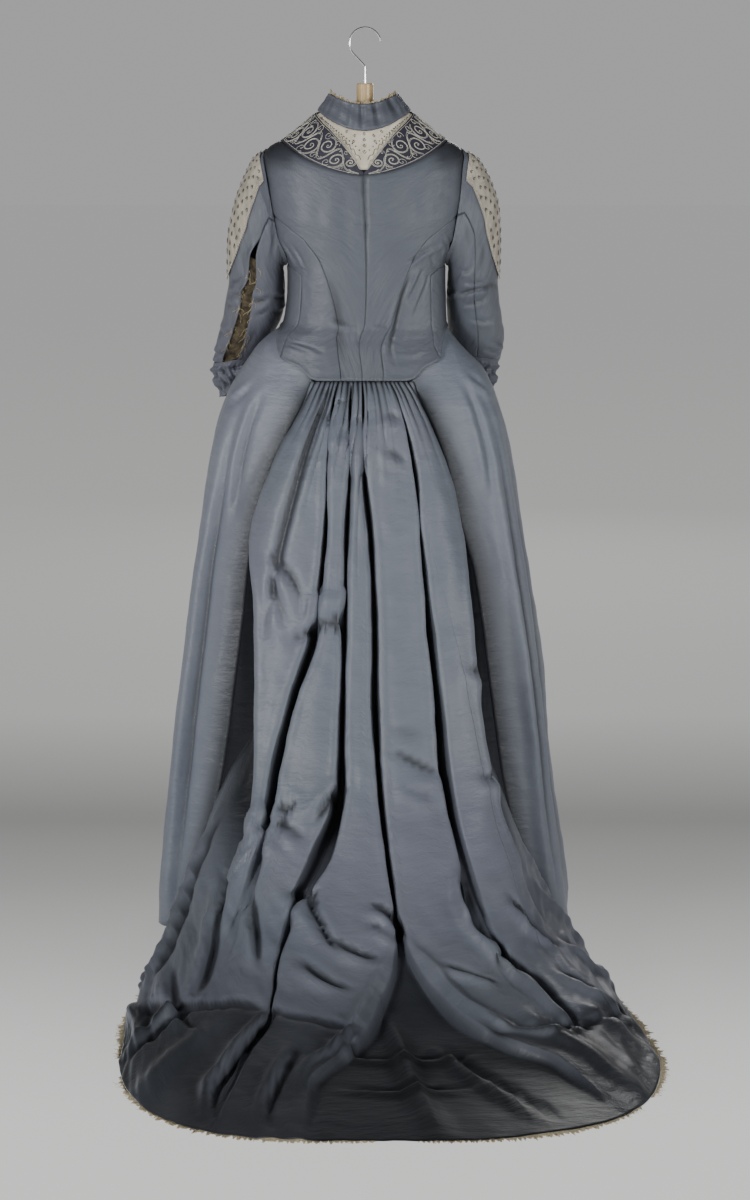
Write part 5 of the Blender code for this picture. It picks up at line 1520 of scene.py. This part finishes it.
# dark is how deep the painted shade goes where the crush presses in
cuffLook = {"ripple": 0.0022, "crush": 0.0030, "fine": (0.0011, 0.0009), "inside": 0.0004, "dark": 0.6,
            "rows": 42, "columns": 150, "thick": 0.0009}
# Creases of the sleeves by ring and turn
sleeveCreases = {
    "Left": creaseTable("""
        fold .0055 .0034 5.7,118 5.85,100 5.9,84
        fold .005 .003 5.6,70 5.75,50 5.8,20
        fold .005 .0026 6.3,62 6.35,40 6.2,10
        fold .005 .003 6.3,120 6.5,104 6.6,92
        trough .006 .0026 4.8,66 5.2,40 5.3,8
        fold .006 .0026 7.3,58 7.4,30 7.2,-5
        trough .007 .002 3.2,80 4,66 4.8,60
        fold .005 .0026 8.2,56 8.4,24 8.2,-16
        trough .006 .0024 7.2,112 8,104 8.8,100
        fold .005 .0022 1.2,96 2,110 3.2,118
        fold .005 .003 5.4,176 5.6,150 5.6,130
        fold .005 .0026 6.2,186 6.4,156 6.4,132
        fold .0055 .003 5.5,-20 5.6,-50 5.5,-90
        fold .0055 .0028 6.4,-24 6.5,-56 6.4,-92
        fold .005 .0024 7.5,200 7.6,230 7.4,250
        ridge .008 .002 7.6,40 8.3,20 9,14
        fold .0045 .0024 8.8,44 8.9,10 8.7,-30
    """),
    "Right": creaseTable("""
        fold .006 .0044 6,118 5.85,96 5.8,74 5.9,52
        fold .005 .0032 6.5,112 6.4,84 6.3,58
        fold .005 .0028 5.3,110 5.3,88 5.4,64
        trough .007 .003 5.2,60 5.5,30 5.6,0
        fold .005 .003 8.35,66 8.45,40 8.5,4
        fold .0045 .0024 8.8,80 8.9,48 8.8,14
        trough .007 .0024 3,76 4,70 4.9,74
        fold .0055 .0028 7.2,104 7.3,72 7.1,38
        trough .006 .0022 1.2,92 2.2,100 3.4,104
        fold .005 .0026 4.5,122 4.6,104 4.5,90
        fold .005 .003 5.5,176 5.7,150 5.7,128
        fold .0055 .003 5.6,-20 5.7,-52 5.6,-92
        fold .005 .0026 6.5,-16 6.6,-50 6.5,-90
        fold .005 .0024 7.6,200 7.7,228 7.5,252
        ridge .008 .0022 6.8,60 7.6,52 8.3,48
    """),
}


# A point on the armhole: 0 degrees at the shoulder, 90 at its back, 180 under the arm
def armholePoint(side, turn):
    angle = np.radians(turn)
    row = armholeMiddle - armholeHalf * np.cos(angle)
    widest = np.where(np.sin(angle) > 0, armhole["back"], armhole["front"])
    place = 90 - signedPower(np.sin(angle), armhole["rounding"]) * widest
    out = gown["bodiceOut"] + 2 * gown["clear"]
    return figurePoint(side * place, bodiceLevel(place, row), out + 0 * place)


# An ellipse round each ring's middle that swings to the front, drawn from the armhole up to ring 1
def sleevePoint(word, ring, turn, out=0.0):
    side, data = (-1 if word == "Left" else 1), sleeveTables[word]
    ring, turn = np.broadcast_arrays(np.asarray(ring, dtype=float), turn)
    row = {name: readTable(data, "ring", name, np.maximum(ring, 1.0)) for name in data}
    outer = np.stack([row["outerX"], 0 * ring, row["outerZ"]], axis=-1)
    inner = np.stack([row["innerX"], 0 * ring, row["innerZ"]], axis=-1)
    centre = (outer + inner) / 2
    centre[..., 1] = row["swing"]
    reach = (outer - inner) / 2 * np.cos(np.radians(turn))[..., None]
    reach[..., 1] -= row["depth"] * np.sin(np.radians(turn))
    hole = armholePoint(side, turn)
    share = np.clip(ring, 0.0, 1.0)[..., None]
    holeCentre = armholePoint(side, np.array([0.0, 90.0, 180.0, 270.0])).mean(axis=0)
    point = hole + (centre + reach - hole) * share
    middle = holeCentre + (centre - holeCentre) * share
    outward = unitVectors(point - middle)
    return point + outward * np.asarray(out)[..., None], outward


# A piece of the sleeve between two edges: the rings moved out by its creases, its seams, two sizes of soft
# waves and gathers that fade from the armhole; curl turns a lip of the open seam out
def sleevePanel(name, node, word, rings, firstEdge, lastEdge, seed, material=silk, out=0.0,
                thick=None, curl=0.0, calm=1.0, columns=sleeve["columns"]):
    look = sleeve
    ring = np.linspace(*rings, look["rows"])[:, None]
    share = np.linspace(0, 1, columns)[None, :]
    turn = firstEdge(ring) + (lastEdge(ring) - firstEdge(ring)) * share
    ring = ring + 0 * share
    base, outward = sleevePoint(word, ring, turn, out + 0 * ring)
    across, down = runLengths(base, 1), runLengths(base, 0)
    total = across[:, -1:]
    creases = creaseLift(base, outward, sleeveCreases[word],
                         lambda at, around: sleevePoint(word, at, around, out + 0 * at)[0])
    lift = seamLift(across, total, down, look, seed) + creases
    for step, (height, size) in enumerate((look["wave"], look["fineWave"])):
        lift = lift + height * softWaves(across, down, seed + step, size)
    height, reach, run = look["gather"]
    pleat = np.abs(np.sin(math.pi * across / run + 0.6 * np.sin(across / 0.03))) - 0.55
    lift = lift + np.exp(-down / reach) * height * pleat
    if curl:
        edge = across if curl < 0 else total - across
        turned = abs(curl) * bell(edge, 0.0, look["lipWidth"]) * (0.8 + 0.5 * np.sin(down / 0.011))
        lift = lift + softStep(ring, 2.8, 4.0) * turned
    points = base + outward * (lift * calm)[..., None]
    # Painted shade: darker in deep creases, along the seams and on the inner side, where the sleeve faces the
    # body
    inner = bell(np.abs(np.mod(turn, 360) - 180), 0.0, look["innerHalf"])
    shade = troughShade(creases, 0.001, 0.004, 0.7) * seamShade(across, total, *look["seamGrooveShade"])
    clothPiece(name, points, outward, material, [node], thick=thick,
               values={"shade": shade * (1 - look["innerSideShade"] * inner)})


def reader(data, column):
    return lambda ring: readTable(data, "ring", column, ring)


def insetPlace(word, ring, turn, out):
    return sleevePoint(word, ring, turn, sleeve["over"] + out + 0 * ring)


# The crushed cuff: rings moved in by ripples round it, slanting crush lines and finer ones of both
def makeCuff(word):
    look = cuffLook
    ring, turn = np.meshgrid(np.linspace(sleeve["end"], 12, look["rows"]),
                             np.linspace(0, 360, look["columns"], endpoint=False), indexing="ij")
    angle = np.radians(turn)
    grown = softStep(ring, 9.2, 10.1)
    ringed, slant = look["fine"]
    inwards = look["ripple"] * np.cos(12 * angle) + look["crush"] * np.sin(ring * 5.5 + angle * 2)
    inwards = inwards + ringed * np.sin(31 * angle + 5 * np.sin(ring * 2.1) + 1.7 * ring)
    inwards = inwards + slant * np.sin(ring * 13 + 3 * np.sin(3 * angle))
    points, outward = sleevePoint(word, ring, turn, -inwards * grown - look["inside"])
    # Painted shade where the crush presses the cloth inwards
    shade = 1 - look["dark"] * softStep(inwards, 0.001, 0.0052) * grown
    clothPiece("cuff" + word, points, outward, silk, ["cuff_" + word.lower()],
               ring=True, values={"shade": shade}, thick=look["thick"])


# Sprigs and small flowers over the inset in staggered rows, and a cord looped like a sine round its edge
def makeInsetWork(word):
    paths, normals, flowers = [], [], []
    steps = np.linspace(0, 1, 7)
    for index, at in enumerate(np.arange(0.6, 4.8, 0.30)):
        back, front = (float(readTable(insetEdge, "ring", end, at)) for end in ("back", "front"))
        for turn in np.arange(front + 8 + 8 * (index % 2), back - 5, 16.0):
            flowers.append((at, turn))
            for lean in (-1, 1):
                bent = turn + lean * 5 * steps * (1.2 - steps)
                path, normal = insetPlace(word, at + 0.13 * steps, bent, 0.0010)
                paths.append(path)
                normals.append(normal)
    name = "insetSprigs" + word
    sprigs = ribMesh(name, np.array(paths), np.array(normals), 0.00075, 0.0004, 0.6)
    addPiece(name, sprigs, darkThread)
    flowers = np.array(flowers)
    centre, normal = insetPlace(word, flowers[:, 0], flowers[:, 1], 0.0011)
    run = unitVectors(np.cross(normal, np.array([0.2, 0.3, 0.93])))
    name, size = "insetFlowers" + word, np.full(len(centre), 0.0014)
    addPiece(name, blossomMesh(name, centre, normal, run, size, height=0.0005), darkThread)
    loops = np.linspace(0, 1, 460)
    rings, loop = 0.4 + 4.75 * loops, 2 * math.pi * 46 * loops
    for end, side in (("back", 1), ("front", -1)):
        edge = readTable(insetEdge, "ring", end, rings)
        turns = edge + 2.0 * np.sin(loop) * side
        path, normal = insetPlace(word, rings + 0.035 * np.cos(loop), turns, 0.0010)
        name = "insetLoops" + end.title() + word
        addPiece(name, ribMesh(name, path[None], normal[None], 0.00060, 0.0007), paleCord)


def makeSleeve(word, seed):
    low, left, cuts = word.lower(), word == "Left", sleeve["cuts"]
    outerLip = reader(openSeam, "outerLip") if left else fixed(sleeve["rightBackSeam"])
    innerLip = reader(openSeam, "innerLip") if left else fixed(sleeve["rightBackSeam"])
    curl = sleeve["lipCurl"] if left else 0.0
    rings, frontSeam = (0.0, sleeve["end"]), sleeve["frontSeam"]
    sleevePanel("upperSleeve" + word, "upper_sleeve_" + low, word, rings, fixed(frontSeam), outerLip,
                seed, curl=curl, columns=84)
    sleevePanel("underSleeve" + word, "under_sleeve_" + low, word, rings, innerLip, fixed(frontSeam + 360),
                seed + 2, curl=-curl * 0.6)
    sleevePanel("sleeveInset" + word, "sleeve_inset_" + low, word, (0.35, 5.2), reader(insetEdge, "front"),
                reader(insetEdge, "back"), seed + 4, insetSilk, sleeve["over"],
                0.0006, calm=sleeve["insetCalm"])
    makeCuff(word)
    makeInsetWork(word)


makeSleeve("Left", 131)
makeSleeve("Right", 151)

lining = {"reach": 20.0, "inside": 0.0036, "crumple": (0.0011, 0.0009), "thick": 0.0005, "threads": 60,
          "threadWidth": 0.0003}


# The torn lining that shows in the left sleeve's open seam: a strip past both lips with torn edges, inside
# the sleeve by a crumpled depth, and straw threads that cross the seam's edges at drawn places
def makeLining():
    look = lining
    ring, share = np.meshgrid(np.linspace(4, sleeve["end"], 90), np.linspace(0, 1, 40), indexing="ij")
    tear = 5.0 * np.sin(ring * 7.1) * np.sin(ring * 2.3) + 3.0 * np.sin(ring * 19.0)
    first = readTable(openSeam, "ring", "outerLip", ring) - look["reach"] + tear
    last = readTable(openSeam, "ring", "innerLip", ring) + look["reach"] + 0.8 * tear
    along, across = look["crumple"]
    crumple = along * np.sin(ring * 8 + 9 * share) + across * np.sin(23 * share + 3 * np.sin(ring * 3))
    points, outward = sleevePoint("Left", ring, first + (last - first) * share, crumple - look["inside"])
    clothPiece("sleeveLining", points, outward, liningCloth,
               ["sleeve_lining_left"], thick=look["thick"])
    draw = np.random.default_rng(23)
    count = look["threads"]
    share = np.linspace(0, 1, 10)[None, :]
    rings = draw.uniform(4.2, 9.1, (count, 1)) + draw.uniform(0.1, 0.55, (count, 1)) * share
    outerLip, innerLip = (readTable(openSeam, "ring", lip, rings[:, :1]) for lip in ("outerLip", "innerLip"))
    edge = np.where(draw.random((count, 1)) < 0.5, outerLip - 2, innerLip + 2)
    turns = edge + draw.normal(0, 7, (count, 1)) * share + 2 * np.sin(6 * share + edge)
    out = 0.0006 + draw.uniform(-0.002, 0.0035, (count, 1)) * np.sin(2 * share)
    paths, normals = sleevePoint("Left", rings, turns, out)
    addThreads("liningThreads", paths, normals, look["threadWidth"], 0.4)


makeLining()
print("sleeves set in")


# The hanger: its solids are right as they are and take their own finishes

def finishNode(node, material):
    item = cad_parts[node]
    if not item.material_slots:
        item.data.materials.append(material)
    for slot in item.material_slots:
        slot.material = material


finishNode("hanger_hook", makeChrome("polishedWire"))
finishNode("hanger_neck", makeWood("turnedWood", (90, 90, 6)))
finishNode("hanger_arms", makeWood("armWood", (6, 90, 90)))
print("hanger finished")


# Floor, light and camera

# The floor glows with painted light and shade and takes only a little of the lamps' light: tones by how far
# behind the gown they lie, as shares of 20 m from 4 m in front, with a painted pool of light in front of the
# gown and a painted shadow band just behind it, blended with distance into one far tone that is also the
# room's
backdrop = {
    "span": 40.0, "under": 0.0004, "front": 4.0, "perMetre": 0.05, "farTone": 0.400, "farFrom": (0.35, 0.80),
    "tones": [(0.100, 0.80), (0.151, 0.78), (0.168, 0.68), (0.188, 0.50), (0.213, 0.33), (0.236, 0.235),
              (0.256, 0.32), (0.285, 0.435), (0.365, 0.450), (0.600, 0.430), (0.960, 0.400)],
    "warmth": 0.985, "matt": 0.72, "glow": 0.93,
}


def makeFloor():
    look, span = backdrop, backdrop["span"]
    z = gown["floor"] - look["under"]
    corners = [(-span, -span, z), (span, -span, z), (span, span, z), (-span, span, z)]
    mesh = bpy.data.meshes.new("paleFloor")
    mesh.from_pydata(corners, [], [(0, 1, 2, 3)])
    floor = bpy.data.objects.new("paleFloor", mesh)
    bpy.context.scene.collection.objects.link(floor)
    paper = Shader("palePaper")
    ground = paper.position()
    depth = paper.add("SeparateXYZ", [(ground, "Vector")]).outputs["Y"]
    away = paper.add("VectorMath", [(ground, "Vector")], operation="LENGTH").outputs["Value"]
    behind = paper.math("MULTIPLY", paper.math("ADD", depth, look["front"]), look["perMetre"])
    tone = paper.ramp(behind, [(at, (level, level, level * look["warmth"])) for at, level in look["tones"]])
    near, end = look["farFrom"]
    far = paper.ramp(paper.math("MULTIPLY", away, look["perMetre"]), [(near, grey(0)), (end, grey(1))])
    tone = paper.mix(far, tone, grey(look["farTone"]))
    paper.link(paper.mix(look["matt"], tone, grey(0.0)), "Base Color")
    # It glows with its painted tones of light and shade
    paper.link(tone, "Emission Color")
    paper.settle(Emission_Strength=look["glow"], Roughness=0.9, Specular_IOR_Level=0.1)
    mesh.materials.append(paper.material)


def addSoftLight(name, place, aim, size, power):
    lamp = bpy.data.lights.new(name, "AREA")
    lamp.shape, lamp.size, lamp.energy = "DISK", size, power
    item = bpy.data.objects.new(name, lamp)
    bpy.context.scene.collection.objects.link(item)
    x, y, z = (end - start for start, end in zip(place, aim))
    item.location = place
    item.rotation_euler = (math.atan2(math.hypot(x, y), -z), 0.0, math.atan2(-x, y))


# Each light's place, aim, size and power
studio = {
    "keyLeft": ((-2.9, -4.4, 0.1), (0.0, -0.1, -0.9), 1.2, 140),
    "keyRight": ((3.4, -4.0, -0.1), (0.0, -0.1, -0.9), 1.6, 80),
    "front": ((0.6, 4.6, 0.6), (0.0, 0.0, -0.9), 2.2, 55),
}
roomTones = [(0.10, 0.400), (0.40, 0.070)]      # by height, paler near the horizon


def makeRoom():
    world = bpy.data.worlds.new("paleRoom")
    bpy.context.scene.world = world
    world.use_nodes = True
    air = world.node_tree
    way = air.nodes.new("ShaderNodeTexCoord")
    parts = air.nodes.new("ShaderNodeSeparateXYZ")
    rise = air.nodes.new("ShaderNodeValToRGB")
    air.links.new(way.outputs["Generated"], parts.inputs["Vector"])
    air.links.new(parts.outputs["Z"], rise.inputs["Fac"])
    for mark, (height, tone) in zip(rise.color_ramp.elements, roomTones):
        mark.position, mark.color = height, (*grey(tone), 1.0)
    air.links.new(rise.outputs["Color"], air.nodes["Background"].inputs["Color"])


# The photograph's camera, fitted to the floor line and the hem's curve
view = {"place": (0.0173, -4.7, -0.15), "down": 10.3, "lens": 127.68, "sensor": 36.0, "clip": 200.0}


def makeCamera():
    lens = bpy.data.cameras.new("photoCamera")
    lens.sensor_fit, lens.sensor_width, lens.lens = "HORIZONTAL", view["sensor"], view["lens"]
    lens.clip_end = view["clip"]
    camera = bpy.data.objects.new("photoCamera", lens)
    bpy.context.scene.collection.objects.link(camera)
    camera.location = view["place"]
    camera.rotation_euler = (math.radians(90 - view["down"]), 0.0, 0.0)
    bpy.context.scene.camera = camera


makeFloor()
for word, light in studio.items():
    addSoftLight(word, *light)
makeRoom()
makeCamera()
print("stage set")
